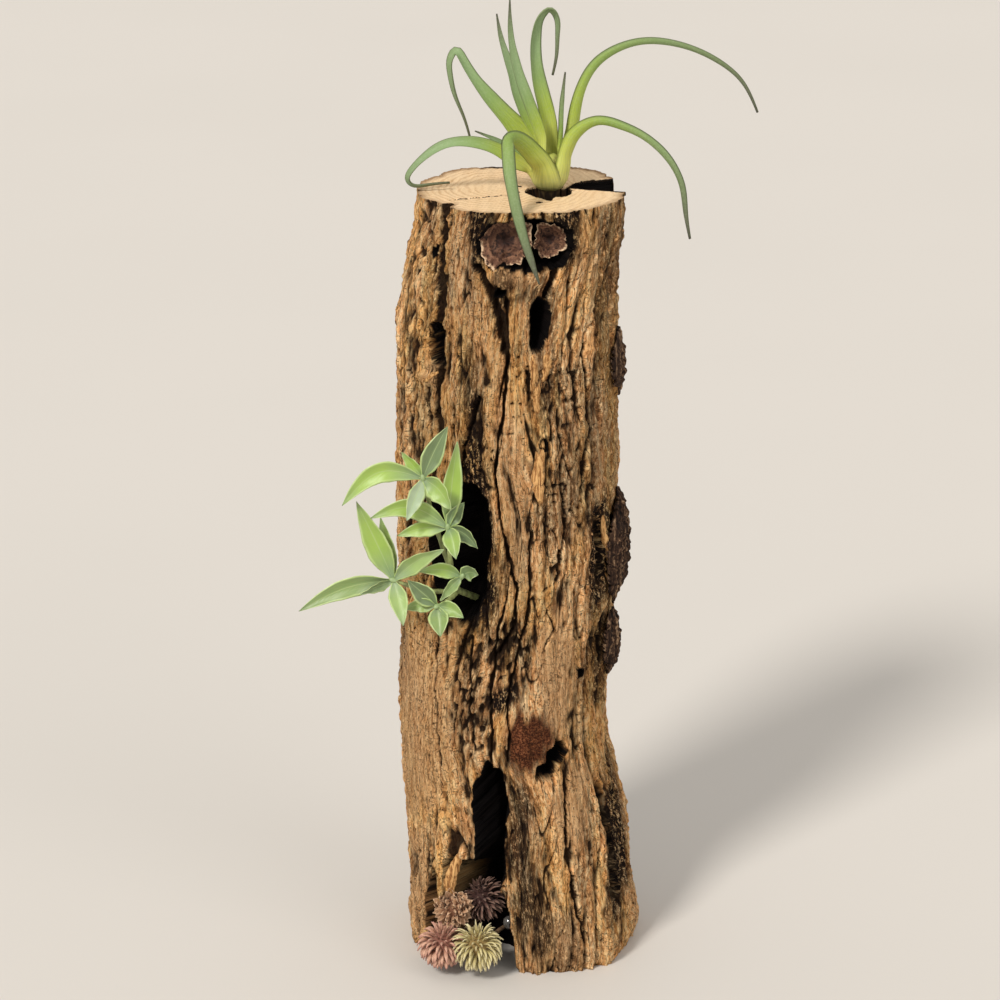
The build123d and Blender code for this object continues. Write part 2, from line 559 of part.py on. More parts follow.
def sprig_stem():
    """The branched stem, from the peg in the drilled hole to the middle of each spray's hub."""
    branches = sprig_branches()
    fork = branches["a"][0]
    foot = sprig_root() - SPRIG_PULL_DIRECTION * SPRIG_PEG_LENGTH
    pieces = rod([foot, fork], SPRIG_STEM_RADIUS)
    pieces.append(Solid.make_sphere(SPRIG_STEM_RADIUS, Plane(fork), -90, 90, 360))
    for points in branches.values():
        pieces += rod(points, SPRIG_BRANCH_RADIUS)
    return pieces[0].fuse(*pieces[1:])


def sprig_spray(name):
    """A moulded whorl of leaves whose hub pushes onto the end of its branch."""
    before, hub = sprig_branches()[name][-2:]
    backwards = (before - hub).normalized()
    leaves = []
    for across, forward, up, rise, width_share in SPRAY_LEAF_SHARES[name]:
        reach = Vector(across, forward, up) * SPRIG_REACH
        route = [hub, hub + reach * (1 / 2) + Vector(0, 0, rise * SPRIG_REACH), hub + reach]
        widths = [SPRAY_LEAF_WIDTH * width_share * share for share in SPRAY_LEAF_PROFILE_SHARES]
        leaves.append(blade(route, widths, SPRAY_LEAF_THICKNESS, LEAF_THICKNESS_SHARE, (0, 0), len(widths)))
    body = Solid.make_sphere(SPRAY_HUB_RADIUS, Plane(hub), -90, 90, 360).fuse(*leaves)
    bore_radius = SPRIG_BRANCH_RADIUS + SPRAY_PEG_GAP
    bore_start = hub - backwards * SPRAY_PEG_GAP
    bore = Solid.make_cylinder(bore_radius, (before - hub).length, Plane(bore_start, z_dir=backwards))
    return largest(body.cut(bore))


def head_centre(number):
    """Middle of a flower head, in the foot hollow's frame."""
    across, up = HEAD_PLACE_SHARES[number]
    return Vector(across * FOOT_WIDTH, up * FOOT_HEIGHT, HEAD_OUTS[number] - FOOT_DEPTH)


def half_space(point, outward, size):
    """A block that fills everything past a plane."""
    place = Plane(point, z_dir=outward)
    corner = place.from_local_coords(Vector(-size / 2, -size / 2, 0))
    return Solid.make_box(size, size, size, Plane(corner, x_dir=place.x_dir, z_dir=place.z_dir))


def stem_rod(number, radius):
    """A rod from a head's flat back to just off the hollow's floor, in the foot hollow's frame."""
    centre = head_centre(number)
    back = Vector(centre.X, centre.Y, centre.Z - HEAD_RADII[number] * HEAD_BACK_SHARE)
    return Solid.make_cylinder(radius, back.Z + FOOT_DEPTH - SEAT_GAP, Plane(back, z_dir=(0, 0, -1)))


def flower_head(number):
    """A dry head: a core with pointed bracts all round, flat behind and where its neighbours press on it."""
    place = foot_place()
    radius = HEAD_RADII[number]
    centre = head_centre(number)
    core = Solid.make_sphere(radius * HEAD_CORE_SHARE, Plane(centre), -90, 90, 360)
    bracts = []
    for i in range(HEAD_BRACTS):
        depth_share = 1 - HEAD_COVER_SHARE * (i + 1 / 2) / HEAD_BRACTS
        swing = i * GOLDEN_TURN
        side = sqrt(1 - depth_share * depth_share)
        outward = Vector(side * cos(swing), side * sin(swing), depth_share)
        root = Plane(centre + outward * radius * BRACT_ROOT_SHARE, z_dir=outward)
        half = radius * BRACT_WIDTH_SHARE / 2
        sides = [(half, 0), (0, half), (-half, 0), (0, -half)]
        foot = Wire.make_polygon([root.from_local_coords(Vector(u, v, 0)) for u, v in sides])
        tip = Vertex(*(centre + outward * radius))
        bracts.append(Solid.make_loft([foot, tip], ruled=True))
    body = core.fuse(*bracts)
    size = 4 * radius
    cutters = [half_space(centre - Vector(0, 0, radius * HEAD_BACK_SHARE), Vector(0, 0, -1), size)]
    floor = Vector(centre.X, HEAD_FLOOR_GAP, centre.Z)
    cutters.append(half_space(floor, Vector(0, -1, 0), size))
    for other in range(len(HEAD_NAMES)):
        if other != number:
            gap = head_centre(other) - centre
            reach = gap.length * radius / (radius + HEAD_RADII[other]) - HEAD_GAP / 2
            cutters.append(half_space(centre + gap.normalized() * reach, gap, size))
            cutters.append(stem_rod(other, FLOWER_STEM_RADIUS + HEAD_GAP))
    return largest(body.cut(*cutters)).moved(place.location)


def flower_stem(number):
    return stem_rod(number, FLOWER_STEM_RADIUS).moved(foot_place().location)


def glue_bead():
    """A dab of glue on the right wall of the foot hollow, between the heads."""
    across, up = GLUE_PLACE_SHARES
    centre = Vector(across * FOOT_WIDTH, up * FOOT_HEIGHT, GLUE_OUT - FOOT_DEPTH)
    return Solid.make_sphere(GLUE_RADIUS, Plane(centre), -90, 90, 360).moved(foot_place().location)


def main():
    pieces = {"log_trunk": log_trunk(), "glue_bead": glue_bead()}
    for number, name in enumerate(STRIP_NAMES):
        pieces["bark_strip_" + name] = bark_strip(number)
    for number, name in enumerate(FUNGUS_NAMES):
        pieces["fungus_shelf_" + name] = fungus_shelf(number)
    pieces["plant_base"] = plant_base()
    for name in LEAF_ROUTE_SHARES:
        pieces["leaf_" + name] = air_plant_leaf(name, pieces["plant_base"])
    pieces["sprig_stem"] = sprig_stem()
    for name in SPRIG_BRANCH_SHARES:
        pieces["sprig_spray_" + name] = sprig_spray(name)
    for number, name in enumerate(HEAD_NAMES):
        pieces["flower_head_" + name] = flower_head(number)
        pieces["flower_stem_" + name] = flower_stem(number)
    for name, piece in pieces.items():
        export_step(piece, f"parts/{name}.step")


main()
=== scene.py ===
"""Looks of the air plant holder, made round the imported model. Lengths are millimetres until they enter a mesh."""
import math

import bpy
import numpy as np
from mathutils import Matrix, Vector
from mathutils.bvhtree import BVHTree


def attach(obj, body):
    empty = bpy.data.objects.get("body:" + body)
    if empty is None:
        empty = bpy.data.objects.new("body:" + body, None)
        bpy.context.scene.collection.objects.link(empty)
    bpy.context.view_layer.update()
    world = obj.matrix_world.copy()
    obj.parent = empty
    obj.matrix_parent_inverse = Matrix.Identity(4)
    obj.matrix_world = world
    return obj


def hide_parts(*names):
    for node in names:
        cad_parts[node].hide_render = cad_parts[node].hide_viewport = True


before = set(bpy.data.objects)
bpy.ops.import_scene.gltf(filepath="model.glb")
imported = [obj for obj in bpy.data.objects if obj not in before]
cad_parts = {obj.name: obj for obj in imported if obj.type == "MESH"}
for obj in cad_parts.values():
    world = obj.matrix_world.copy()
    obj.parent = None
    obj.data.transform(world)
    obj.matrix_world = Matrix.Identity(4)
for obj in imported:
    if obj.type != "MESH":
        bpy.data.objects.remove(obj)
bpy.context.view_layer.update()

MM = 0.001
TAU = 2 * math.pi
UPWARD = np.array([0, 0, 1.0])
RAY_REACH = 120.0  # rays from outside start this far from the trunk's axis

# Camera and light, as in the photograph
CAMERA_PLACE = (-9, -1233, 642)
CAMERA_DOWN = 20.55
CAMERA_LENS = 126.4
# Name, place that it shines from, angle, strength, colour
SUNS = [
    ("key", (-0.6, -0.85, 0.95), 12, 2.5, (1.0, 0.962, 0.91)),
    ("fill", (0.9, -0.9, 0.7), 40, 0.55, (1.0, 0.98, 0.95)),
]
WALL_COLOUR = (0.62, 0.575, 0.53)
SKY_COLOUR = (1.0, 0.98, 0.95)
SKY_STRENGTH = 0.6
FLOOR_COLOURS = (0.645, 0.612, 0.568), (0.625, 0.594, 0.55)
FLOOR_HALF = 6.0  # metres

# Trunk
TRUNK_HEIGHT = 300.0
TRUNK_TURNS = 600
TRUNK_ROWS = 420
TOP_RINGS = 90
# Height, then the place of the axis there
TRUNK_AXIS = np.array([(0, 0.5, 0.0), (60, -4.0, 0.0), (90, -7.5, 0.0), (250, -6.0, 0.8), (300, -1.0, 1.8)])
GIRTH = 246.0  # mean length round the trunk, the unit of the grain's across coordinate
GRAIN_RADIUS = GIRTH / TAU
LEAST_RADIUS = 5.0
SURFACE_WINDOW = 23.0  # half the width of the widest hollow that counts as a hollow
CLEFT_FOOT = 225  # rays from above that go lower have passed the pocket and the cleft
RIM_SHARE = 0.86  # outside this share of the radius the sawn top is flat, except in the cleft
CLEFT = (15, -4, 18)  # where the cleft starts across, and its two sides
PITH = (-8.0, 5.0)
RING_SPACING = 2.5
KNOT_TURN = 274
FOOT_TURN = 237

# What the grain flows round: turn in degrees, height, half width, half height
GRAIN_KNOTS = [
    (274, 287, 19, 12), (227, 250, 6, 11), (287, 260, 5, 11), (241, 171, 13, 31), (256, 62, 7, 27),
    (237, 14, 20, 34), (299, 88, 5, 9), (279, 96, 8, 12), (283, 205, 5, 13), (329, 52, 5, 34), (331, 165, 5, 18),
    (60, 210, 9, 15), (120, 110, 11, 18), (165, 240, 6, 10), (20, 70, 8, 14), (95, 40, 6, 12),
]
# Long drying cracks on the front, as across and up places seen from the front, then width and depth
CRACKS = [
    ([(-7, 270), (-6, 247), (-7, 232), (-11, 205), (-9, 188), (-6, 171), (-2.2, 157), (-3, 143), (-9, 132)], 0.9, 3.2),
    ([(-17, 232), (-22, 212), (-24, 196)], 0.9, 3.0),
    ([(-28.5, 300), (-30.5, 272), (-31, 236), (-33, 222)], 1.6, 3.6),
    ([(-17, 280), (-12.5, 272), (-8.5, 262), (-7.5, 250)], 2.0, 4.6),
    ([(11, 279), (7.5, 270), (6.5, 262)], 1.8, 4.4),
    ([(16, 81), (16.3, 52), (24.5, 4)], 0.9, 3.0),
    ([(-13, 88), (-12, 114), (-11, 134), (-8, 150)], 0.8, 2.6),
    ([(-5.6, 88), (-6, 112), (-3, 128), (2, 150), (3, 180)], 0.8, 2.4),
    ([(14, 205), (16, 180), (13, 160)], 0.7, 2.2),
    ([(21, 250), (24, 215), (21, 190)], 0.8, 2.4),
    ([(7, 132), (12, 141), (9, 148)], 0.7, 1.6),
    ([(-36, 232), (-33, 205), (-40, 176)], 0.9, 2.4),
    ([(-20, 138), (-21, 112), (-19, 92)], 0.8, 2.2),
    ([(-33, 139), (-34, 110), (-32, 80)], 0.6, 1.6),
    ([(30, 130), (29, 110), (27, 92)], 0.9, 2.6),
]
# Zones seen from the front: across, up, half width, half height, strength
CHAR_ZONES = [
    (-18, 196, 5, 42, 1), (-16, 165, 7, 24, 1), (-20, 232, 4, 18, 0.7), (-16, 291, 4.5, 12, 1), (14, 291, 6, 12, 1),
    (-8, 271, 5, 9, 0.7), (6, 262, 6, 14, 0.7), (31, 262, 6, 44, 0.55), (29, 164, 5, 24, 1), (-8, 114, 6, 6, 1),
    (-3, 62, 3.4, 20, 0.75), (0, 30, 4, 18, 0.75), (36, 52, 5, 38, 1), (-7, 136, 9, 12, 0.6), (-20, 110, 5, 22, 0.45),
    (31, 120, 6, 20, 0.8), (8, 232, 6, 14, 0.6), (-31, 268, 5, 24, 0.45), (16, 203, 4, 22, 0.5), (-24, 18, 10, 20, 0.9),
    (8, 192, 4, 16, 0.5), (38, 276, 5, 30, 0.75), (29, 205, 8, 46, 0.4), (0, 68, 3.5, 11, 0.8), (-2, 50, 3.6, 14, 0.85),
    (2, 32, 4, 12, 0.85), (7, 15, 4, 11, 0.8), (16, 12, 5, 12, 0.45), (24, 40, 4, 30, 0.35),
]
# Where the inside of a hollow still catches light
INSIDE_LIGHT = [
    (-31, 40, 6, 13, 0.3), (-36, 20, 3, 18, 0.35), (29, 164, 5, 16, 0.3), (36, 52, 5, 34, 0.35),
    (-36, 250, 2.5, 8, 0.45),
]
PALE_ZONES = [
    (-38, 98, 9, 46, 0.9), (12.5, 122, 6.5, 28, 1), (18, 68, 6.5, 17, 1), (12, 12, 12, 12, 0.7),
    (-33, 238, 4, 5, 0.9), (-6, 276, 8, 4, 1), (-3, 192, 6, 40, 0.45), (5, 206, 3.4, 9, 0.6), (22, 284, 4, 14, 0.5),
    (-27, 120, 7, 30, 0.5), (-40, 30, 4, 26, 0.9), (-12, 226, 6, 30, 0.3),
]
RED_ZONES = [(2, 95.6, 9, 13, 1), (5.5, 208, 3, 8, 0.45), (36, 160, 3, 4, 0.8), (12, 152, 3, 5, 0.5)]
PIT_ZONES = [
    (-8, 134, 10, 14, 1), (-20, 108, 6, 24, 1), (-17, 190, 6, 46, 0.8), (-34, 272, 5, 22, 0.8), (12, 226, 7, 20, 0.6),
]
SMOOTH_ZONES = [(-38, 98, 9, 44, 1), (12.5, 122, 6, 26, 1), (18, 68, 6, 15, 0.9), (1.5, 95.6, 7, 11, 1)]
# Lumps of callus under the knot: across, up, half width, half height, rise
CALLUS = [(-10, 275.5, 5.5, 4.2, 2.6), (-3, 277, 4.5, 4.5, 2.8), (4, 276, 4.0, 3.2, 1.6), (-36, 236, 5, 3, 1.6)]
# Splinters: foot and tip as across and up places seen from the front, width, thickness, seed, lies flat
SPLINTERS = [
    ((-28.5, 28.0), (-24.0, 50.0), 5.0, 2.4, 1, False), ((30.6, 160.0), (29.6, 181.0), 2.6, 1.8, 2, True),
    ((32.0, 146.0), (31.0, 156.0), 3.2, 2.2, 3, True), ((3.0, 233.5), (2.6, 248.0), 2.6, 2.4, 4, True),
    ((7.5, 238.0), (7.0, 249.0), 3.8, 2.6, 5, True), ((4.8, 226.0), (4.6, 238.0), 2.4, 2.2, 6, True),
    ((6.8, 191.0), (4.6, 217.0), 4.8, 2.6, 7, True), ((-37.0, 235.0), (-31.0, 239.0), 2.6, 2.4, 8, True),
]

# Air plant
PLANT_REACH = 100.0
PLANT_ORIGIN = np.array([9.0, 2.4, 300.0])  # middle of its foot
PLANT_BULB_RADIUS = 5.6
BULB_PROFILE = [
    (0.0, 0.1), (0.02, 0.42), (0.3, 0.58), (0.55, 0.71), (0.63, 0.88), (0.74, 0.97), (0.86, 0.94), (0.95, 0.7),
    (1.0, 0.3),
]
SHEATH_SHARE = 0.15
LEAF_STATIONS = 72
# Each leaf: turn of its face away from the viewer at foot and tip, in degrees; how much wider it is than the solid;
# how far its sheath stands off the bulb, and half its angle round it; then its widths from foot to tip and its middle
# line from the plant's foot, both in thousandths of the plant's reach
LEAVES = {
    "droop_front": ((0, 10), 1.15, 2.2, 75, [40, 70, 64, 48, 42, 40, 37, 32, 24, 6], [
        (0, -46, 35), (-20, -78, 92), (-58, -110, 154), (-105, -162, 215), (-134, -205, 240), (-149, -250, 238),
        (-151, -290, 211), (-146, -335, 148), (-130, -372, 60), (-109, -392, -28), (-87, -400, -104), (-40, -402, -240),
    ]),
    "arch_low_right": ((10, 45), 1.15, 2.0, 75, [36, 52, 46, 36, 31, 29, 27, 23, 18, 6], [
        (43, -20, 45), (56, -30, 118), (76, -36, 188), (118, -42, 237), (174, -54, 264), (246, -70, 254),
        (322, -90, 226), (386, -105, 182), (442, -120, 118), (475, -132, 46), (489, -140, -48), (508, -147, -148),
    ]),
    "curl_left": ((15, 60), 1.15, 1.4, 60, [32, 48, 46, 39, 34, 30, 24, 20, 16, 5], [
        (-44, -18, 36), (-75, -36, 72), (-130, -52, 120), (-207, -62, 169), (-290, -70, 191), (-373, -75, 185),
        (-446, -77, 143), (-497, -73, 92), (-515, -65, 50), (-500, -55, 26), (-446, -45, 22), (-362, -30, 26),
    ]),
    "arch_high_right": ((15, 48), 1.15, 1.0, 65, [34, 44, 40, 36, 33, 28, 25, 21, 15, 5], [
        (42, 20, 60), (68, 28, 128), (92, 34, 268), (118, 40, 370), (163, 50, 446), (239, 62, 500),
        (330, 76, 525), (431, 90, 518), (525, 101, 490), (616, 111, 442), (692, 120, 378), (761, 130, 251),
    ]),
    "bent_left": ((0, 76), 1.3, 1.1, 80, [34, 62, 56, 44, 34, 28, 24, 20, 14, 5], [
        (-36, 26, 58), (-66, 42, 137), (-130, 56, 225), (-214, 72, 315), (-279, 90, 395), (-317, 102, 458),
        (-338, 112, 482), (-356, 122, 462), (-362, 132, 394), (-344, 142, 305), (-315, 150, 227), (-293, 156, 147),
    ]),
    "upright_front": ((8, 8), 1.15, 0.3, 50, [24, 36, 38, 34, 26, 16, 5], [
        (-14, -20, 118), (-32, -22, 200), (-76, -24, 327), (-118, -26, 452), (-141, -26, 570), (-145, -24, 700),
    ]),
    "upright_back": ((8, 8), 1.15, 0.3, 50, [24, 38, 40, 34, 26, 16, 5], [
        (-14, 20, 118), (-50, 40, 197), (-105, 64, 308), (-141, 82, 426), (-174, 101, 525), (-192, 120, 617),
    ]),
    "loop": ((0, 78), 1.45, 0.6, 60, [24, 38, 42, 38, 36, 32, 26, 20, 14, 5], [
        (16, 12, 118), (6, 14, 180), (-11, 18, 273), (-40, 24, 388), (-54, 30, 491), (-49, 38, 575),
        (-25, 46, 632), (0, 52, 646), (20, 58, 624), (26, 64, 555), (22, 68, 479), (7, 72, 403),
    ]),
    "spike_left": ((10, 10), 1.0, 0.1, 35, [22, 24, 18, 5], [
        (-38, -2, 88), (-85, -12, 122), (-165, -20, 172), (-270, -26, 220),
    ]),
    "spike_right": ((20, 20), 1.0, 0.1, 35, [18, 20, 18, 5], [
        (26, -4, 105), (38, 0, 180), (41, 2, 265), (54, 6, 430),
    ]),
}

# Sprig
SPRIG_REACH = 60.0
SPRIG_ROOT = np.array([-20.9, -24.0, 151.5])
SPRIG_PULL_WAY = np.array([-0.6186, -0.5987, 0.5089])
SPRIG_FORK_SHARE = 0.11  # how far out the stem forks
PEG_LENGTH = 13.5
SPRAY_LEAF_WIDTH = 8.0
SPRAY_LEAF_OUTLINE = [0, 0.07, 0.2, 0.35, 0.55, 0.78, 0.93, 1], [0.15, 0.28, 0.7, 0.98, 0.9, 0.52, 0.2, 0.02]
# Sprays given low tints, which paint their leaves darker as shade
SHADED_SPRAYS = "de"
# Each spray, in hundredths of the sprig's reach: the corners of its branch from the peg's root, and its leaves, as
# across, forward and up from its hub to the tip, rise of the arch at half way, and width as a share of the leaf width
SPRAYS = {
    "a": ([(-18, -17, 47), (-26.5, -32, 88)], [
        (-49, -2, -17, 13, 1), (-13, 5, 15, 0, 0.62), (15, 3, 32, 2, 1), (17, -12, -16, 3, 1.15),
        (-10, -4, -26, 0, 0.8),
    ]),
    "b": ([(-10, -19, 27), (-11.8, -27.5, 54.5)], [
        (6, 4, 54, 2, 1), (-47, -3, 7, 10, 1), (10, 1, 16, 1, 0.75), (5, -14, -15, 3, 0.9), (18, -2, -13, 3, 0.8),
        (-31, 4, -7, 2, 0.8),
    ]),
    "c": ([(-26, -23, 12), (-45, -26, 19.5)], [
        (-22, -2, 52, 0, 1.2), (-58, -6, -18, 5, 1), (31, -13, 25, 3, 0.95), (6, -15, -24, 2, 0.9), (-8, 9, 38, 0, 0.8),
        (-20, -8, -6, 0, 0.55),
    ]),
    "d": ([(-7, -18, 13), (-3.5, -23.5, 21)], [(-26, -5, 5, 3, 0.75), (10, -5, 3, 2, 0.85), (-13, -10, -12, 1, 0.6)]),
    "e": ([(-12, -20, 4), (-18.5, -28.5, 3.5)], [
        (-18, 0, 17, 0, 1), (2, -10, -16, 1, 1), (-20, 2, -3, 2, 0.75), (16, -7, -5, 2, 0.8),
    ]),
}

# Dry flower heads: middle, radius, way that the head faces, bracts, their length and width shares, pull of their
# tips, then the colours of a bract low down, in its middle, at its tip and in its shade
HEADS = {
    "mauve": (
        (-15.7, -24.0, 25.3), 9.3, (-0.55, -0.65, 0.45), 110, 1.05, 0.22, (0.1, -0.1, -0.1),
        [(0.14, 0.062, 0.045), (0.24, 0.13, 0.095), (0.38, 0.235, 0.175), (0.045, 0.018, 0.014)],
    ),
    "tan": (
        (-27.0, -32.2, 25.5), 8.2, (-0.2, -0.9, -0.25), 70, 1.00, 0.42, (0.0, -0.1, 0.1),
        [(0.48, 0.26, 0.14), (0.68, 0.42, 0.24), (0.84, 0.58, 0.37), (0.17, 0.075, 0.04)],
    ),
    "rose": (
        (-31.0, -36.7, 12.4), 9.7, (0.15, -0.45, 0.85), 120, 1.05, 0.25, (0.0, 0.0, -0.42),
        [(0.58, 0.3, 0.19), (0.76, 0.47, 0.33), (0.6, 0.29, 0.23), (0.22, 0.09, 0.062)],
    ),
    "green": (
        (-17.7, -40.0, 13.3), 10.0, (0.0, -0.4, 0.9), 140, 1.06, 0.19, (0.0, -0.05, -0.4),
        [(0.56, 0.47, 0.17), (0.78, 0.69, 0.34), (0.92, 0.84, 0.54), (0.24, 0.16, 0.055)],
    ),
}
HEAD_CORE_SHARE = 0.52

# Fungus: seed, growth over the solid's width and height, shift
SHELVES = {"large": (3, 1.22, 1.42, (-0.4, -0.6)), "small": (9, 1.2, 1.05, (0.3, -0.4))}
# Sections of a shelf from its root: reach out, size, and place in the zones of its colour, all as shares
SHELF_ROWS = [
    (0.0, 0.35, 0.0), (0.3, 0.6, 0.1), (0.62, 0.84, 0.2), (0.88, 0.96, 0.6), (0.97, 1.0, 0.95), (1.0, 0.985, 1.0),
    (0.975, 0.94, 0.96), (0.93, 0.86, 0.86), (0.8, 0.77, 0.78), (0.83, 0.69, 0.7), (0.7, 0.6, 0.6),
    (0.62, 0.48, 0.5), (0.66, 0.4, 0.42), (0.56, 0.27, 0.3), (0.5, 0.14, 0.14), (0.49, 0.03, 0.0),
]
STRIP_COLUMNS = 26
STRIP_ROWS = 90


# Shader nodes


class Value:
    """Output of a shader node. Arithmetic on it adds math nodes."""

    def __init__(self, shader, socket):
        self.shader, self.socket = shader, socket

    def math(self, operation, other=0.0, clamp=False):
        return self.shader.add("Math", {0: self, 1: other}, operation=operation, use_clamp=clamp)

    def __add__(self, other):
        return self.math("ADD", other)

    def __sub__(self, other):
        return self.math("SUBTRACT", other)

    def __mul__(self, other):
        return self.math("MULTIPLY", other)

    def __abs__(self):
        return self.math("ABSOLUTE")

    def scaled(self, across, up):
        return self.shader.add("VectorMath", {0: self, 1: (across, across, up)}, operation="MULTIPLY")

    def noise(self, detail, roughness, distortion=0.0, scale=1.0):
        inputs = {"Vector": self, "Scale": scale, "Detail": detail, "Roughness": roughness, "Distortion": distortion}
        return self.shader.add("TexNoise", inputs)

    def ramp(self, *stops):
        """Colours, or greys given as one number, at places from 0 to 1."""
        made = self.shader.add("ValToRGB", {"Fac": self})
        points = made.socket.node.color_ramp.elements
        while len(points) < len(stops):
            points.new(0.5)
        for point, (position, colour) in zip(points, stops):
            point.position = position
            point.color = (*colour, 1.0) if isinstance(colour, tuple) else (colour, colour, colour, 1.0)
        return made

    def cover(self, amount, colour):
        """This colour with some of another over it."""
        return self.shader.mix(amount, self, colour)

    def thin_line(self, half):
        """1 on the thin lines where a noise crosses its middle, and 0 away from them."""
        away = abs(self - 0.5).math("DIVIDE", half)
        return self.shader.add("Math", {0: 1.0, 1: away}, operation="SUBTRACT", use_clamp=True)


class Shader:
    """A material and its nodes."""

    def __init__(self, name, roughness, specular=0.5, **values):
        self.material = bpy.data.materials.new(name)
        self.material.use_nodes = True
        self.tree = self.material.node_tree
        self.inputs = self.tree.nodes["Principled BSDF"].inputs
        for key, value in {"Roughness": roughness, "Specular_IOR_Level": specular, **values}.items():
            self.inputs[key.replace("_", " ")].default_value = value

    def put(self, target, value):
        """Link an output to an input, or set the input."""
        if isinstance(value, Value):
            self.tree.links.new(value.socket, target)
        elif isinstance(value, tuple) and len(target.default_value) == 4:
            target.default_value = (*value, 1.0)
        else:
            target.default_value = value

    def add(self, kind, inputs=(), output=0, **settings):
        node = self.tree.nodes.new("ShaderNode" + kind)
        for key, value in settings.items():
            setattr(node, key, value)
        for key, value in dict(inputs).items():
            self.put(node.inputs[key], value)
        return Value(self, node.outputs[output])

    def attribute(self, name, output="Fac"):
        return self.add("Attribute", output=output, attribute_name=name)

    def place(self, across, up):
        """Place in the object in millimetres, scaled across and up."""
        return self.add("TexCoord", output="Object").scaled(across / MM, up / MM)

    def vector(self, x, y, z=0.0):
        return self.add("CombineXYZ", {"X": x, "Y": y, "Z": z})

    def mix(self, amount, first, second):
        return self.add("Mix", {0: amount, 6: first, 7: second}, 2, data_type="RGBA")

    def dress(self, colour, *bumps, roughness=None):
        """Give the surface its colour and roughness, and bumps of height, distance and strength."""
        lower = {}
        for height, distance, strength in bumps:
            sizes = {"Height": height, "Distance": distance * MM, "Strength": strength}
            lower = {"Normal": self.add("Bump", {**sizes, **lower})}
        for key, value in {"Base Color": colour, "Roughness": roughness, **lower}.items():
            if value is not None:
                self.put(self.inputs[key], value)
        return self.material


def mottled(name, roughness, specular, scales, noise, stops, bump, **values):
    """A material of one noise, whose numbers are in the order that noise takes them."""
    s = Shader(name, roughness, specular, **values)
    mottle = s.place(*scales).noise(*noise)
    return s.dress(mottle.ramp(*stops), (mottle, *bump))


# Meshes


def in_scene(name, data):
    made = bpy.data.objects.new(name, data)
    bpy.context.scene.collection.objects.link(made)
    return made


def mesh_piece(name, points, faces, materials, body, node, values, kinds=None):
    """A mesh object from millimetre points, riding on a body in place of a CAD node."""
    mesh = bpy.data.meshes.new(name)
    mesh.from_pydata((points * MM).tolist(), [], faces)
    for key, value in values.items():
        kind, field = ("FLOAT_VECTOR", "vector") if value.ndim == 2 else ("FLOAT", "value")
        mesh.attributes.new(key, kind, "POINT").data.foreach_set(field, value.astype(np.float32).ravel())
    for material in materials:
        mesh.materials.append(material)
    if kinds is not None:
        mesh.polygons.foreach_set("material_index", kinds)
    mesh.polygons.foreach_set("use_smooth", np.full(len(mesh.polygons), True))
    mesh.update()
    piece = in_scene(name, mesh)
    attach(piece, body)
    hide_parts(node)


def unit(vectors):
    vectors = np.asarray(vectors, dtype=float)
    return vectors / np.maximum(np.linalg.norm(vectors, axis=-1, keepdims=True), 1e-9)


def level_way(degrees):
    return np.array([math.cos(math.radians(degrees)), math.sin(math.radians(degrees)), 0])


def turns_round(count):
    return np.arange(count) / count * TAU


def node_points(node):
    """Corners of a CAD node's mesh, in millimetres."""
    return np.array([v.co[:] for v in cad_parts[node].data.vertices]) / MM


def node_tree(node):
    """Ray tree of a CAD node, in millimetres."""
    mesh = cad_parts[node].data
    return BVHTree.FromPolygons([v.co / MM for v in mesh.vertices], [p.vertices[:] for p in mesh.polygons])


def smooth_line(points, count):
    """Evenly spaced places along a smooth line through the points, and its direction at each."""
    points = np.asarray(points, dtype=float)
    steps = np.linalg.norm(np.diff(points, axis=0), axis=1)
    knots = np.concatenate([[0], np.cumsum(steps)])
    system, right = np.eye(len(points)), np.zeros_like(points)
    for i in range(1, len(points) - 1):
        system[i, i - 1 : i + 2] = steps[i - 1], 2 * (steps[i - 1] + steps[i]), steps[i]
        right[i] = 6 * ((points[i + 1] - points[i]) / steps[i] - (points[i] - points[i - 1]) / steps[i - 1])
    bend = np.linalg.solve(system, right)
    fine = np.linspace(0, knots[-1], 40 * len(points))
    k = np.clip(np.searchsorted(knots, fine, side="right") - 1, 0, len(points) - 2)
    before, after, step = (knots[k + 1] - fine)[:, None], (fine - knots[k])[:, None], steps[k][:, None]
    curve = (bend[k] * before**3 + bend[k + 1] * after**3) / (6 * step)
    curve += (points[k] / step - bend[k] * step / 6) * before + (points[k + 1] / step - bend[k + 1] * step / 6) * after
    length = np.concatenate([[0], np.cumsum(np.linalg.norm(np.diff(curve, axis=0), axis=1))])
    even = np.linspace(0, length[-1], count)
    places = np.stack([np.interp(even, length, curve[:, c]) for c in range(3)], axis=1)
    return places, unit(np.gradient(places, axis=0))


def ring_faces(first, lines, sides):
    """Faces between rings of points that follow one another."""
    grid = first + np.arange(lines * sides).reshape(lines, sides)
    after = np.roll(grid, -1, 1)
    return np.stack([grid[:-1], after[:-1], after[1:], grid[1:]], axis=-1).reshape(-1, 4).tolist()


class Pile:
    """Closed tubes of rings gathered into one mesh, with values at their points."""

    def __init__(self):
        self.points, self.faces, self.values, self.count = [], [], {}, 0

    def add(self, rings, **values):
        lines, sides = rings.shape[:2]
        self.faces += ring_faces(self.count, lines, sides)
        self.faces.append([self.count + j for j in reversed(range(sides))])
        self.faces.append([self.count + (lines - 1) * sides + j for j in range(sides)])
        self.points.append(rings.reshape(-1, 3))
        for key, value in values.items():
            self.values.setdefault(key, []).append(np.broadcast_to(value, (lines, sides)).ravel())
        self.count += lines * sides
        return self

    def make(self, name, material, body, node, slot):
        values = {key: np.concatenate(parts) for key, parts in self.values.items()}
        mesh_piece(name, np.concatenate(self.points), self.faces, [material], body, node, values)


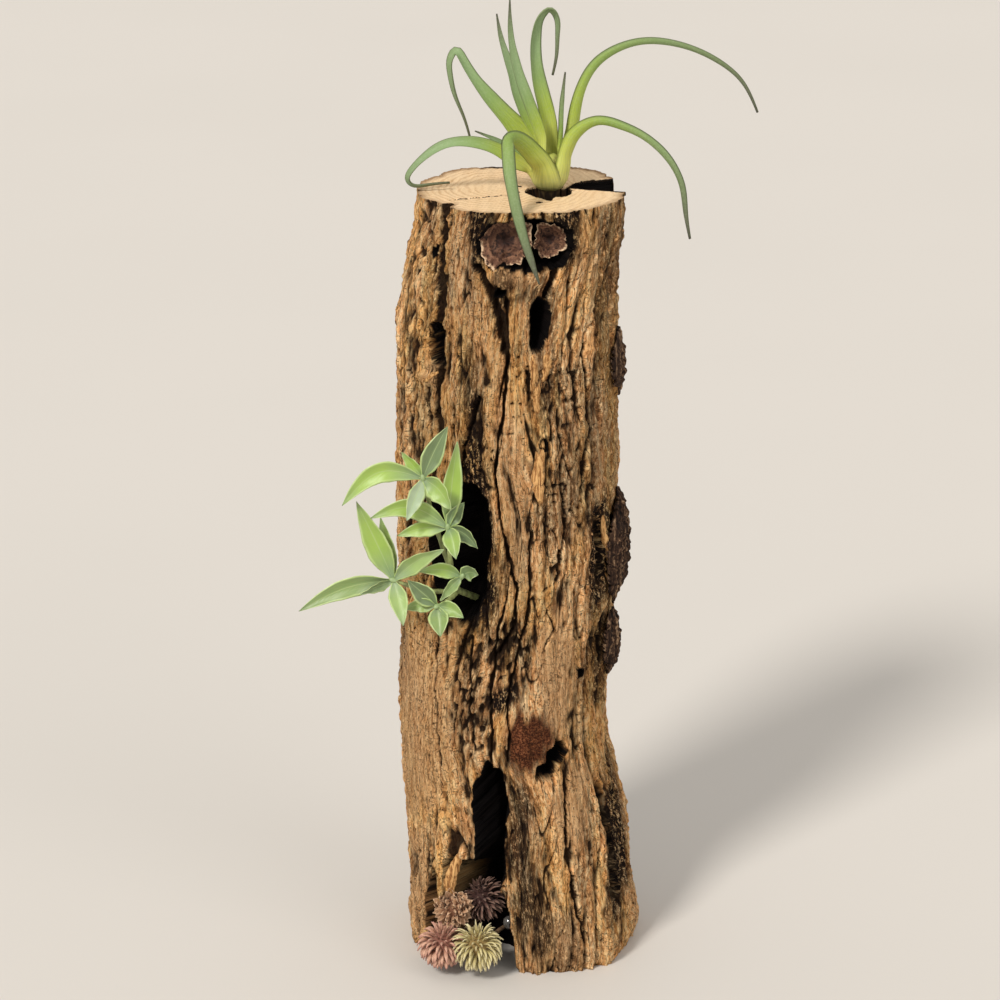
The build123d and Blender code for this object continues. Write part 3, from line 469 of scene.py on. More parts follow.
def level_rings(middle, reach, turn, heights):
    """Rings round an upright line."""
    return np.stack([middle[0] + reach * np.cos(turn), middle[1] + reach * np.sin(turn), heights + 0 * reach], axis=-1)


def leaf_rings(places, across, raised, widths, thickness, cup, columns=9):
    """Closed rings of a leaf whose edges are lifted towards its raised side, with each point's side and face."""
    u = np.linspace(-1, 1, columns)
    widths, cup = (np.broadcast_to(v, len(places))[:, None, None] for v in (widths, cup))
    upper = places[:, None] + across[:, None] * u[None, :, None] * widths / 2
    upper = upper + raised[:, None] * cup * widths * (u[None, :, None] ** 2 - 0.35)
    under = u[-2:0:-1]
    lower = upper[:, -2:0:-1] - raised[:, None] * (thickness * (1 - 0.85 * under**4))[None, :, None]
    faces_up = np.r_[np.ones(columns), np.zeros(columns - 2)]
    return np.concatenate([upper, lower], axis=1), np.concatenate([u, under]), faces_up


def tube_rings(places, ways, radii, sides=10):
    """Round rings along a line."""
    first = unit(np.cross(ways, np.array([0.31, 0.74, 0.6])))
    second = np.cross(ways, first)
    turn = turns_round(sides)[None, :, None]
    radii = np.broadcast_to(radii, len(places))[:, None, None]
    return places[:, None] + radii * (first[:, None] * np.cos(turn) + second[:, None] * np.sin(turn))


def straight_rings(middle, way, steps, radii, sides=10):
    """Round rings at steps along a straight line."""
    return tube_rings(middle + np.outer(steps, way), np.tile(way, (len(steps), 1)), radii, sides)


# Trunk


def flow_noise(across, up, cell_across, cell_up, seed):
    """Gradient noise from about -1 to 1 on the trunk's unrolled surface, closed round the trunk."""
    turns = max(3, round(GIRTH / cell_across))
    rows = int(2 * TRUNK_HEIGHT / cell_up) + 4
    angles = np.random.default_rng(seed).uniform(0, TAU, (turns, rows))
    u, v = across / GIRTH * turns, up / cell_up + rows / 4
    u0, v0 = np.floor(u).astype(int), np.floor(v).astype(int)
    fu, fv = u - u0, v - v0
    su, sv = (f * f * f * (f * (f * 6 - 15) + 10) for f in (fu, fv))

    def corner(i, j):
        angle = angles[(u0 + i) % turns, (v0 + j) % rows]
        return np.cos(angle) * (fu - i) + np.sin(angle) * (fv - j)

    low = corner(0, 0) * (1 - su) + corner(1, 0) * su
    high = corner(0, 1) * (1 - su) + corner(1, 1) * su
    return 1.5 * (low * (1 - sv) + high * sv)


def ease(low, high, value):
    """0 below low, 1 above high, and smooth between."""
    share = np.clip((value - low) / (high - low), 0, 1)
    return share * share * (3 - 2 * share)


def axis_at(up):
    heights, across, forward = TRUNK_AXIS.T
    return np.interp(up, heights, across), np.interp(up, heights, forward)


def zone_away(x, z, zone):
    across, up, half_width, half_height = zone
    return np.sqrt(((x - across) / half_width) ** 2 + ((z - up) / half_height) ** 2)


def zone_value(zones, x, z, front, edge):
    """Strongest of some soft-edged zones seen from the front."""
    total = np.zeros_like(x)
    for *zone, strength in zones:
        total = np.maximum(total, strength * ease(1.35, 0.65, zone_away(x, z, zone) + edge))
    return total * front


def dilate(values, half):
    """Largest value within half steps each way round the trunk."""
    best = values.copy()
    for step in range(1, half + 1):
        best = np.maximum(best, np.maximum(np.roll(values, step, 1), np.roll(values, -step, 1)))
    return best


def erode(values, half):
    return -dilate(-values, half)


def grain_flow(across, up):
    """Across coordinate of the grain, which bends round knots and hollows."""
    bent = across + 4.0 * flow_noise(across, up, 62, 120, 11) + 1.2 * flow_noise(across, up, 20, 46, 12)
    shift = np.zeros_like(bent)
    for turn, height, half_width, half_height in GRAIN_KNOTS:
        side = (across - math.radians(turn) * GRAIN_RADIUS + GIRTH / 2) % GIRTH - GIRTH / 2
        rise = (up - height) * half_width / half_height
        shift -= side * 0.5 * half_width**2 / (side * side + rise * rise + 0.7 * half_width**2)
    return bent + shift


def terraced(noise, steps):
    """Noise in flat steps with short slopes between them, like split wood."""
    raised = noise * steps
    base = np.floor(raised)
    return (base + ease(0.72, 1.0, raised - base)) / steps


def trunk_relief(across, up, x, front):
    """Height of the weathered wood over its smooth form, and the masks and grain that colour it."""
    flow = grain_flow(across, up)

    def noise(cell_across, cell_up, seed):
        return flow_noise(flow, up, cell_across, cell_up, seed)

    def zones(table):
        return zone_value(table, x, up, front, edge)

    patch = noise(24, 50, 21)
    cords = np.abs(noise(9.0, 90, 2)) ** 0.75 - 0.42
    strands = np.abs(noise(3.6, 30, 3)) ** 0.8 - 0.35
    fibres = np.abs(noise(1.9, 9, 4)) - 0.25
    plates = terraced(noise(4.2, 13, 17), 3.0)
    chips = terraced(noise(2.2, 5.0, 18), 2.5)
    edge = 0.35 * flow_noise(across, up, 3.0, 8.0, 6) + 0.25 * flow_noise(across, up, 9.0, 20.0, 7)
    back = 1 - front
    char = np.maximum(zones(CHAR_ZONES), back * 0.9 * ease(0.3, 0.62, noise(17, 85, 31)))
    pits_zone = np.maximum(zones(PIT_ZONES), back * ease(0.2, 0.5, noise(20, 40, 32)))
    pits = ease(0.15, 0.42, noise(1.9, 3.6, 8)) * pits_zone
    splits = ease(0.075, 0.0, np.abs(noise(11, 88, 9))) * ease(-0.15, 0.25, patch)
    small_splits = ease(0.075, 0.0, np.abs(noise(6.0, 30, 10))) * ease(0.2, -0.2, patch)
    checks = ease(0.045, 0.0, np.abs(flow_noise(across, up, 14, 7.0, 13)))
    checks *= ease(0.16, 0.4, flow_noise(across, up, 13, 22, 14))
    rough = 1 - 0.8 * zones(SMOOTH_ZONES)
    height = 1.4 * noise(30, 190, 1) + rough * (2.6 * cords + 1.5 * strands + 0.9 * plates + 0.5 * chips)
    height += 0.6 * (0.3 + rough) * fibres + 0.4 * rough * noise(1.2, 2.4, 5)
    height -= 1.3 * pits + rough * (2.4 * splits + 1.4 * small_splits + 1.0 * checks)
    # How much painted shade darkens the wood: more in pits, between cords and strands and in splits and checks, less on
    # callus lumps
    crevice_shade = 1.0 * pits - rough * (1.1 * cords + 0.9 * strands + 0.7 * fibres + 0.5 * plates + 0.35 * chips)
    crevice_shade += rough * (0.95 * splits + 0.8 * small_splits + 0.9 * checks)
    for *zone, rise in CALLUS:
        lump = ease(1.2, 0.3, zone_away(x, up, zone) + 0.5 * edge) * front
        height += rise * lump
        crevice_shade -= 0.5 * lump
    masks = {
        "crevice_shade": np.clip(0.5 + 0.5 * crevice_shade, 0, 1), "char": char, "pale": zones(PALE_ZONES), "red": zones(RED_ZONES),
        "tone": np.clip(0.5 + 0.5 * patch + 0.3 * noise(8, 60, 22), 0, 1),
    }
    return height, masks, level_rings((0, 0), GRAIN_RADIUS, flow / GRAIN_RADIUS, up)


def crack_depth(x, z, front, across):
    """Depth of the placed cracks."""
    wander = 0.8 * flow_noise(across, z, 5, 9, 15) + 0.5 * flow_noise(across, z, 2, 3.5, 16)
    depth = np.zeros_like(x)
    for points, width, deep in CRACKS:
        line = np.asarray(points, dtype=float)
        low, high = line.min(0) - 6, line.max(0) + 6
        near = (x > low[0]) & (x < high[0]) & (z > low[1]) & (z < high[1]) & (front > 0.2)
        places = np.stack([x[near] + wander[near], z[near]], axis=-1)
        best = np.full(len(places), np.inf)
        for start, end in zip(line, line[1:]):
            run = end - start
            share = np.clip((places - start) @ run / (run @ run), 0, 1)
            best = np.minimum(best, np.linalg.norm(places - start - share[:, None] * run, axis=-1))
        depth[near] = np.maximum(depth[near], deep * ease(width, 0.15 * width, best))
    return depth


def trunk_radius(tree, across, up, turn):
    """Reach of the CAD trunk from its axis, found by rays with torn edges, and 1 where it is a hollow."""
    ragged = 0.9 * flow_noise(across, up, 4.5, 9, 41) + 0.6 * flow_noise(across, up, 1.8, 4, 42)
    ragged_up = 1.6 * flow_noise(across, up, 5, 6, 43) + 1.6 * flow_noise(across, up, 2.2, 14, 44)
    aim_up = np.clip(up + ragged_up, 0.4, TRUNK_HEIGHT - 0.4)
    aim = turn + ragged / GRAIN_RADIUS
    centre_x, centre_y = axis_at(aim_up)
    radius = np.zeros_like(up)
    for index in np.ndindex(up.shape):
        way = Vector((math.cos(aim[index]), math.sin(aim[index]), 0))
        hit = tree.ray_cast(Vector((centre_x[index], centre_y[index], aim_up[index])) + way * RAY_REACH, -way)
        radius[index] = RAY_REACH - hit[3] if hit[0] is not None else LEAST_RADIUS
    radius = np.maximum(radius, LEAST_RADIUS)
    kept = dilate(erode(radius, 3), 3)
    radius = np.where(radius - kept > 0.8, kept, radius)
    half = int(SURFACE_WINDOW / GIRTH * TRUNK_TURNS)
    deep = dilate(ease(2.4, 6.0, erode(dilate(radius, half), half) - radius), 1)
    deep[1:-1] = np.maximum(deep[1:-1], np.maximum(deep[2:], deep[:-2]))
    return radius, deep


def sawn_top(tree, rim_radius, turns, shares):
    """Rings of the sawn top, shrinking to its middle, with the pocket and the cleft found by rays from above."""
    middle_x, middle_y = axis_at(TRUNK_HEIGHT)
    cleft_start, cleft_low, cleft_high = CLEFT
    top = np.zeros((len(shares), len(turns), 3))
    for (k, share), (j, turn) in ((row, column) for row in enumerate(shares) for column in enumerate(turns)):
        x = middle_x + share * rim_radius[j] * math.cos(turn)
        y = middle_y + share * rim_radius[j] * math.sin(turn)
        wave = 0.5 * math.sin(x * 2.1 + 1.7 * y) + 0.4 * math.sin(y * 3.3 - x)
        hit = tree.ray_cast(Vector((x + wave * 0.15, y - wave * 0.12, TRUNK_HEIGHT + 10)), Vector((0, 0, -1)))
        z = hit[0].z if hit[0] is not None else TRUNK_HEIGHT
        if z < CLEFT_FOOT or (share > RIM_SHARE and not (x > cleft_start and cleft_low < y < cleft_high)):
            z = TRUNK_HEIGHT
        if z > TRUNK_HEIGHT - 1:
            saw = 0.1 * math.sin(x * 1.3 + 0.3 * math.sin(y)) + 0.05 * math.sin(4.1 * x - 0.8 * y)
            z += saw - 0.15 - 0.35 * max(0.0, (share - 0.94) / 0.06)
        top[k, j] = x, y, z
    return top


def make_trunk():
    """The trunk: rays onto the CAD trunk give its form and hollows, and noise gives its weathered relief."""
    tree = node_tree("log_trunk")
    turns = turns_round(TRUNK_TURNS)
    up, turn = np.meshgrid(np.linspace(0, TRUNK_HEIGHT, TRUNK_ROWS), turns, indexing="ij")
    across = turn * GRAIN_RADIUS
    radius, deep = trunk_radius(tree, across, up, turn)
    axis = axis_at(up)
    x = axis[0] + radius * np.cos(turn)
    front = ease(0.15, -0.25, np.sin(turn))
    height, masks, grain = trunk_relief(across, up, x, front)
    cracks = crack_depth(x, up, front, across) * (1 - deep)
    calm = (1 - 0.65 * deep) * (1 - 0.45 * ease(TRUNK_HEIGHT - 4, TRUNK_HEIGHT, up))
    radius = np.maximum(radius + calm * height - cracks - 0.5 * (1 - ease(0, 4, up)), LEAST_RADIUS)
    # Painted shade also deepens along the placed cracks
    masks["crevice_shade"] = np.clip(masks["crevice_shade"] + 0.35 * cracks, 0, 1)
    # Painted shade: the hollows are coloured near black, except where their inside catches light
    masks["deep"] = deep * (1 - zone_value(INSIDE_LIGHT, x, up, front, 0))
    shares = 1 - np.arange(1, TOP_RINGS) / TOP_RINGS
    top = sawn_top(tree, radius[-1], turns, shares)
    ends = [[*axis_at(TRUNK_HEIGHT), top[-1, :, 2].mean()], [axis_at(0)[0], 0, 0]]
    points = np.concatenate([level_rings(axis, radius, turn, up).reshape(-1, 3), top.reshape(-1, 3), ends])

    side = ring_faces(0, TRUNK_ROWS, TRUNK_TURNS)
    sawn = ring_faces(up.size - TRUNK_TURNS, TOP_RINGS, TRUNK_TURNS)
    tip = len(points) - 2
    around = [(j, (j + 1) % TRUNK_TURNS) for j in range(TRUNK_TURNS)]
    sawn += [[tip - TRUNK_TURNS + j, tip - TRUNK_TURNS + after, tip] for j, after in around]
    sawn += [[after, j, tip + 1] for j, after in around]

    masks["rim"] = np.ones_like(up)
    # Painted shade: the pocket and the cleft below the sawn face get the deep mask
    on_top = {"deep": ease(1.0, 2.2, TRUNK_HEIGHT - top[..., 2]), "rim": np.repeat(shares, TRUNK_TURNS)}
    values = {
        key: np.concatenate([mask.ravel(), on_top.get(key, np.zeros(top[..., 2].shape)).ravel(), [0, 0]])
        for key, mask in masks.items()
    }
    values["grain"] = np.concatenate([grain.reshape(-1, 3), points[up.size :]])
    kinds = np.repeat([0, 1], [len(side), len(sawn)]).astype(np.int32)
    looks = [weathered_wood(), end_grain()]
    mesh_piece("trunk", points, side + sawn, looks, "log", "log_trunk", values, kinds)
    return BVHTree.FromPolygons(points.tolist(), side + sawn)


def weathered_wood():
    """Grey-brown to golden fissured wood, charred in places, with painted shade in its crevices and cracks and
    near-black painted shade in its hollows.
    """
    s = Shader("weathered wood", 0.82, 0.1)
    grain = s.attribute("grain", "Vector")
    broad = grain.scaled(0.1, 0.022).noise(3, 0.6)
    strands = grain.scaled(0.75, 0.075).noise(5, 0.62, 0.5)
    fibres = grain.scaled(2.6, 0.33).noise(4, 0.65, 0.3)
    flakes = grain.scaled(1.4, 0.46).noise(4, 0.65, 0.2)
    specks = grain.scaled(3.0, 1.5).noise(3, 0.7)
    ticks = grain.scaled(2.2, 0.5).noise(2, 0.6)
    mixed = strands * 0.42 + (fibres * 0.26 + flakes * 0.32)
    wood = mixed.ramp(
        (0.34, (0.09, 0.032, 0.011)), (0.405, (0.33, 0.138, 0.047)), (0.445, (0.66, 0.315, 0.119)),
        (0.49, (0.92, 0.495, 0.212)), (0.55, (1.0, 0.69, 0.37)),
    )
    golden = mixed.ramp(
        (0.34, (0.15, 0.052, 0.012)), (0.42, (0.55, 0.245, 0.066)), (0.48, (0.88, 0.46, 0.145)),
        (0.57, (0.99, 0.66, 0.28)),
    )
    grey = mixed.ramp((0.37, (0.055, 0.026, 0.013)), (0.47, (0.29, 0.165, 0.088)), (0.57, (0.58, 0.41, 0.25)))
    light = mixed.ramp((0.35, (0.3, 0.14, 0.054)), (0.45, (0.58, 0.315, 0.138)), (0.56, (0.8, 0.49, 0.245)))
    fuzz = s.place(1.3, 1.3).noise(4, 0.8)
    felt = fuzz.ramp((0.38, (0.025, 0.008, 0.004)), (0.5, (0.1, 0.03, 0.012)), (0.62, (0.27, 0.1, 0.042)))
    # Near-black painted shade for the inside of the hollows
    inside = strands.ramp((0.5, (0.002, 0.001, 0.001)), (0.7, (0.006, 0.003, 0.002)), (0.85, (0.02, 0.009, 0.004)))
    gate = grain.scaled(0.11, 0.07).noise(2, 0.5).ramp((0.42, 0.0), (0.56, 1.0))
    seams = grain.scaled(0.62, 0.045).noise(3, 0.55, 0.4).thin_line(0.011) * 0.95
    across = grain.scaled(0.16, 0.34).noise(3, 0.6, 0.8).thin_line(0.011) * gate
    lines = seams.math("MAXIMUM", across)
    # Painted shade, darkest in the deepest crevices
    dark = (s.attribute("crevice_shade") - 0.64).math("MULTIPLY", 3.4, True).ramp((0.0, 0.0), (1.0, 0.97))
    burnt = s.attribute("char") * (flakes + specks * 0.5).ramp((0.77, 1.0), (0.88, 0.12))
    for amount, colour in (
        (broad.ramp((0.44, 0.0), (0.6, 0.8)), golden),
        (s.attribute("tone").ramp((0.12, 0.5), (0.45, 0.0)), grey),
        (s.attribute("pale") * 0.85, light),
        (s.attribute("red"), felt),
        (specks.ramp((0.31, 0.85), (0.4, 0.0)), (0.055, 0.021, 0.008)),
        (ticks.ramp((0.32, 0.85), (0.385, 0.0)), (0.04, 0.015, 0.006)),
        (lines, (0.016, 0.007, 0.003)),
        (dark, (0.018, 0.008, 0.004)),
        (burnt, (0.013, 0.007, 0.005)),
        (s.attribute("deep"), inside),
    ):
        wood = wood.cover(amount, colour)
    bumps = (mixed * 2.4 - lines, 1.0, 1.0), (fibres + specks * 0.9, 0.55, 0.9)
    return s.dress(wood, *bumps, roughness=specks.ramp((0.3, 0.7), (0.7, 0.95)))


def end_grain():
    """Pale sawn end with growth rings, darker at its rim, with near-black painted shade in its holes."""
    s = Shader("sawn end grain", 0.72, 0.3)
    flat = s.place(1, 0)
    off = s.add("VectorMath", {0: flat, 1: (*PITH, 0)}, "Value", operation="DISTANCE")
    away = off + flat.noise(2, 0.5, scale=0.06) * 9.0
    rings = ((away * (TAU / RING_SPACING)).math("SINE") + 1.0) * 0.5
    faded = off.math("DIVIDE", 40.0).ramp((0.1, 0.2), (0.5, 1.0), (0.8, 0.5))
    fine, grit = flat.noise(5, 0.7, scale=1.2), flat.noise(3, 0.6, scale=4.5)
    wood = s.mix(faded * rings.ramp((0.45, 0.0), (0.95, 0.75)), (0.84, 0.6, 0.355), (0.58, 0.345, 0.16))
    wood = wood.cover(flat.noise(3, 0.6, scale=0.09).ramp((0.4, 0.0), (0.75, 0.55)), (0.87, 0.66, 0.42))
    wood = wood.cover(fine.ramp((0.3, 0.7), (0.45, 0.0)), (0.36, 0.18, 0.07))
    wood = wood.cover(grit.ramp((0.28, 0.45), (0.42, 0.0)), (0.42, 0.235, 0.1))
    wood = wood.cover((s.attribute("rim") - 0.9).math("MULTIPLY", 9.0, True) * 0.8, (0.2, 0.095, 0.035))
    # Near-black painted shade in the pocket and the cleft
    torn = s.place(1.1, 0.16).noise(4, 0.65).ramp((0.42, (0.005, 0.003, 0.002)), (0.62, (0.075, 0.036, 0.017)))
    wood = wood.cover(s.attribute("deep").ramp((0.004, 0.0), (0.035, 1.0)), torn)
    bumps = (rings, 0.1, 0.4), (fine + grit, 0.16, 0.6)
    return s.dress(wood, *bumps, roughness=fine.ramp((0.3, 0.62), (0.7, 0.85)))


def make_splinters(wood):
    """Golden splinters, chips and a flake that still cling to the wood."""
    look = mottled(
        "split wood", 0.8, 0.15, (1.3, 0.22), (4, 0.65, 0.4),
        [(0.36, (0.12, 0.045, 0.014)), (0.46, (0.38, 0.18, 0.06)), (0.58, (0.72, 0.42, 0.17))], (0.9, 0.9),
    )
    pile = Pile()
    turn = turns_round(14)
    share = np.linspace(0, 1, 18)

    def depth_at(x, z):
        return wood.ray_cast(Vector((x, -RAY_REACH, z)), Vector((0, 1, 0)))[0].y

    for start, end, width, thickness, seed, flat in SPLINTERS:
        rng = np.random.default_rng(seed)
        line = np.array(start) + (np.array(end) - np.array(start)) * share[:, None]
        line[:, 0] += 0.25 * width * np.sin(share * 4 + rng.uniform(0, 6))
        depths = [depth_at(x, z) for x, z in line] if flat else [depth_at(*line[-1]) + 0.4] * len(line)
        depths = np.convolve(np.pad(depths, 3, mode="edge"), np.ones(7) / 7, mode="valid")
        size = np.interp(share, [0, 0.12, 0.45, 0.8, 1], [0.15, 0.75, 1.0, 0.7, 0.08])
        size = (size * (1 + 0.18 * rng.uniform(-1, 1, len(share))))[:, None]
        ridges = 1 + 0.14 * np.sin(5 * turn + rng.uniform(0, 6)) + 0.1 * np.sin(9 * turn)
        pile.add(np.stack([
            line[:, :1] + width / 2 * size * (ridges * np.cos(turn)),
            depths[:, None] + thickness / 2 * size * (ridges * np.sin(turn)),
            line[:, 1:] + 0.5 * np.sin(3 * turn + seed),
        ], axis=-1))
    pile.make("splinters", look, "log", "log_trunk", "weathered_wood")


# Air plant


def leaf_material():
    """Air plant leaf: yellow-green foot, grey-green blade with pale scales, brown tip."""
    s = Shader("air plant leaf", 0.58, 0.35)
    along, side = s.attribute("along"), s.attribute("side")
    lines = s.vector(side * 5.0, along * 3.0).noise(3, 0.6, scale=2.0)
    scales = s.place(1.3, 1.3).noise(2, 0.6)
    blade = along.ramp(
        (0.0, (0.62, 0.6, 0.22)), (0.07, (0.54, 0.56, 0.12)), (0.2, (0.38, 0.47, 0.06)),
        (0.36, (0.235, 0.345, 0.068)), (0.58, (0.21, 0.295, 0.115)), (0.8, (0.155, 0.195, 0.095)),
        (0.92, (0.115, 0.115, 0.08)),
        (1.0, (0.055, 0.043, 0.04)),
    )
    blue = s.attribute("upper") * along.ramp((0.24, 0.0), (0.48, 0.6), (0.75, 0.45), (0.95, 0.0))
    blade = blade.cover(blue, (0.27, 0.39, 0.2))
    blade = blade.cover(scales.ramp((0.45, 0.0), (0.7, 0.2)), (0.42, 0.49, 0.31))
    blade = blade.cover(lines.ramp((0.35, 0.35), (0.55, 0.0)), (0.1, 0.17, 0.04))
    edge = abs(side).ramp((0.72, 0.0), (0.97, 0.65)) * along.ramp((0.1, 0.0), (0.3, 1.0))
    return s.dress(blade.cover(edge, (0.13, 0.15, 0.065)), (lines + scales * 0.4, 0.25, 0.6))


def strap_leaf(name, material):
    """One channelled leaf that clasps the bulb at its foot."""
    roll, widening, stand, half_angle, widths, route = LEAVES[name]
    places, ways = smooth_line(PLANT_ORIGIN + np.array(route) * PLANT_REACH / 1000, LEAF_STATIONS)
    along = np.linspace(0, 1, LEAF_STATIONS)
    widths = np.interp(along, np.linspace(0, 1, len(widths)), widths) * PLANT_REACH / 1000
    widths *= widening * (1 + 0.03 * np.sin(along * 31 + len(name)))
    roll = np.radians(np.interp(along, [0, 1], roll))[:, None]
    flat = unit(np.cross(ways, np.array([0, 1, 0])))
    across = flat * np.cos(roll) + unit(np.cross(ways, flat)) * np.sin(roll)
    raised = unit(np.cross(ways, across))
    if raised[:, 2].mean() - 0.6 * unit(places[-1] - PLANT_ORIGIN) @ raised.mean(0) < 0:
        raised = -raised
    cup = np.interp(along, [0, 0.15, 0.6, 1], [0.1, 0.24, 0.17, 0.05])
    rings, side, upper = leaf_rings(places, across, raised, widths, 0.75, cup)
    # The leaf's foot turns into an arc round the bulb
    clasp = ease(0, 1, 1 - along / SHEATH_SHARE)[:, None, None]
    joint = places[int(SHEATH_SHARE * LEAF_STATIONS)] - PLANT_ORIGIN
    azimuth = math.atan2(joint[1], joint[0])
    way_round = 1 if across[0] @ np.array([-math.sin(azimuth), math.cos(azimuth), 0]) > 0 else -1
    spread = np.radians(half_angle) * np.interp(along, [0, SHEATH_SHARE], [1.0, 0.5])
    turn = azimuth + way_round * spread[:, None] * side
    swell = np.interp(along / SHEATH_SHARE, [0, 0.2, 0.5, 1], [0.62, 0.92, 1.1, 0.8])
    radius = (swell * (PLANT_BULB_RADIUS + stand))[:, None] - 0.5 * upper
    height = np.interp(along, [0, SHEATH_SHARE], [0.4, joint[2]])[:, None]
    arcs = level_rings(PLANT_ORIGIN, radius, turn, PLANT_ORIGIN[2] + height)
    pile = Pile().add(rings * (1 - clasp) + arcs * clasp, along=along[:, None], side=side, upper=upper)
    pile.make("strap_" + name, material, "air_plant", "leaf_" + name, "air_plant_leaf")


def make_bulb():
    """The bulb inside the sheaths, with the dry stub that drops into the pocket."""
    s = Shader("plant bulb", 0.6, 0.3)
    blotch = s.place(0.5, 0.12).noise(4, 0.6)
    bulb = s.attribute("along").ramp(
        (0.0, (0.012, 0.007, 0.004)), (0.545, (0.018, 0.01, 0.005)), (0.575, (0.4, 0.34, 0.12)),
        (0.75, (0.56, 0.54, 0.15)), (1.0, (0.42, 0.45, 0.1)),
    )
    look = s.dress(bulb.cover(blotch.ramp((0.4, 0.55), (0.55, 0.0)), (0.13, 0.085, 0.03)), (blotch, 0.4, 0.7))
    heights = node_points("plant_base")[:, 2]
    along = np.linspace(0, 1, 40)[:, None]
    radius = np.interp(along, *np.array(BULB_PROFILE).T) * PLANT_BULB_RADIUS
    turn = turns_round(36)
    reach = radius * (1 + 0.035 * np.sin(9 * turn) + 0.02 * np.sin(23 * turn + 2))
    rings = level_rings(PLANT_ORIGIN, reach, turn, heights.min() + (heights.max() - heights.min()) * along)
    Pile().add(rings, along=along).make("bulb", look, "air_plant", "plant_base", "plant_bulb")


# Sprig


def sprig_leaf_material():
    """Moulded leaf: grey-green middle, wide bright margin, pale midrib."""
    s = Shader("sprig leaf", 0.42, 0.5, Subsurface_Weight=0.05)
    along, side, tint = s.attribute("along"), abs(s.attribute("side")), s.attribute("tint")
    streaks = s.vector(side * 4.0, along * 2.0, tint * 9.0).noise(4, 0.6, scale=1.5)
    leaf = s.mix(streaks.ramp((0.35, 0.0), (0.65, 0.8)), (0.165, 0.24, 0.12), (0.26, 0.355, 0.17))
    bright = along.ramp((0.08, 0.0), (0.42, 0.9), (0.72, 0.8), (1.0, 0.2))
    # Low tints, which the shaded sprays get, take away the bright colour and add the dark one below: on those sprays
    # this is painted shade, elsewhere random tone
    bright = bright * tint.ramp((0.15, 0.1), (0.35, 1.0), (0.8, 1.0), (0.88, 0.15))
    margin = s.mix(along.ramp((0.0, 0.0), (0.7, 0.6)), (0.44, 0.58, 0.17), (0.58, 0.68, 0.36))
    edge = side + (streaks - 0.5) * 0.3
    for amount, colour in (
        (bright, (0.32, 0.47, 0.075)),
        (tint.ramp((0.8, 0.0), (0.88, 0.75)), (0.42, 0.52, 0.35)),
        (tint.ramp((0.1, 0.65), (0.32, 0.0)), (0.08, 0.12, 0.048)),
        (edge.ramp((0.74, 0.0), (0.92, 0.9)), margin),
        (side.ramp((0.02, 0.5), (0.07, 0.0)), (0.4, 0.5, 0.22)),
    ):
        leaf = leaf.cover(amount, colour)
    veins = s.vector(side * 1.2, (along - side * 0.22) * 22.0).noise(1, 0.5)
    return s.dress(leaf, (veins, 0.22, 0.5))


def make_stems(branches):
    """The peg in the wood and the branches that fork from it."""
    look = mottled(
        "sprig stem", 0.5, 0.4, (0.6, 0.2), (3, 0.6),
        [(0.35, (0.16, 0.17, 0.07)), (0.6, (0.33, 0.38, 0.14))], (0.3, 0.6),
    )
    fork = SPRIG_ROOT + SPRIG_PULL_WAY * SPRIG_FORK_SHARE * SPRIG_REACH
    pile = Pile()
    pile.add(tube_rings(*smooth_line([SPRIG_ROOT - SPRIG_PULL_WAY * PEG_LENGTH, SPRIG_ROOT, fork], 16), 1.25))
    along = np.linspace(0, 1, 28)
    radii = np.interp(along, [0, 1], [1.0, 0.72]) * (1 + 0.09 * np.sin(along * 40))
    for corners in branches.values():
        pile.add(tube_rings(*smooth_line([fork - 0.8 * SPRIG_PULL_WAY, *corners], len(along)), radii))
    pile.make("sprig_wood", look, "sprig", "sprig_stem", "sprig_stem")


def make_sprig():
    branches = {name: SPRIG_ROOT + np.array(spray[0]) * SPRIG_REACH / 100 for name, spray in SPRAYS.items()}
    make_stems(branches)
    look = sprig_leaf_material()
    rng = np.random.default_rng(5)
    along = np.linspace(0, 1, 26)
    outline = SPRAY_LEAF_WIDTH * np.interp(along, *SPRAY_LEAF_OUTLINE)
    for name, (before, hub) in branches.items():
        pile = Pile()
        knob = np.sqrt(1 - np.linspace(-0.97, 0.97, 9) ** 2)
        rings = straight_rings(hub, unit(hub - before), np.linspace(-1.8, 1.8, 9), knob)
        pile.add(rings, along=0.02, side=0.0, tint=0.4)
        for *reach, rise, width_share in SPRAYS[name][1]:
            reach = np.array(reach) * SPRIG_REACH / 100
            route = [hub, hub + reach * 0.5 + UPWARD * rise * SPRIG_REACH / 100, hub + reach]
            places, ways = smooth_line(route, len(along))
            widths = outline * width_share
            across = unit(np.cross(ways, np.array([0, 1, 0])))
            raised = unit(np.cross(ways, across))
            raised = -raised if raised[:, 1].mean() > 0 else raised
            twist = np.radians(rng.uniform(-32, 32)) * along[:, None]
            cos, sin = np.cos(twist), np.sin(twist)
            across, raised = across * cos + raised * sin, raised * cos - across * sin
            rings, side, upper = leaf_rings(places, across, raised, widths, 0.5, 0.13, 11)
            crease = 0.05 * widths[:, None] * np.abs(side) * 2
            ripple = 0.25 * np.sin(along * 23 + rng.uniform(0, 6))[:, None] * side**2 * np.sign(side)
            rings = rings + raised[:, None] * (crease + ripple - 0.05 * widths[:, None])[..., None]
            shade = rng.uniform(0, 0.35) if name in SHADED_SPRAYS else rng.uniform(0.1, 1.0)
            pile.add(rings, along=along[:, None], side=side, tint=shade)
        pile.make("spray_" + name, look, "sprig", "sprig_spray_" + name, "sprig_leaf")


# Dry flower heads


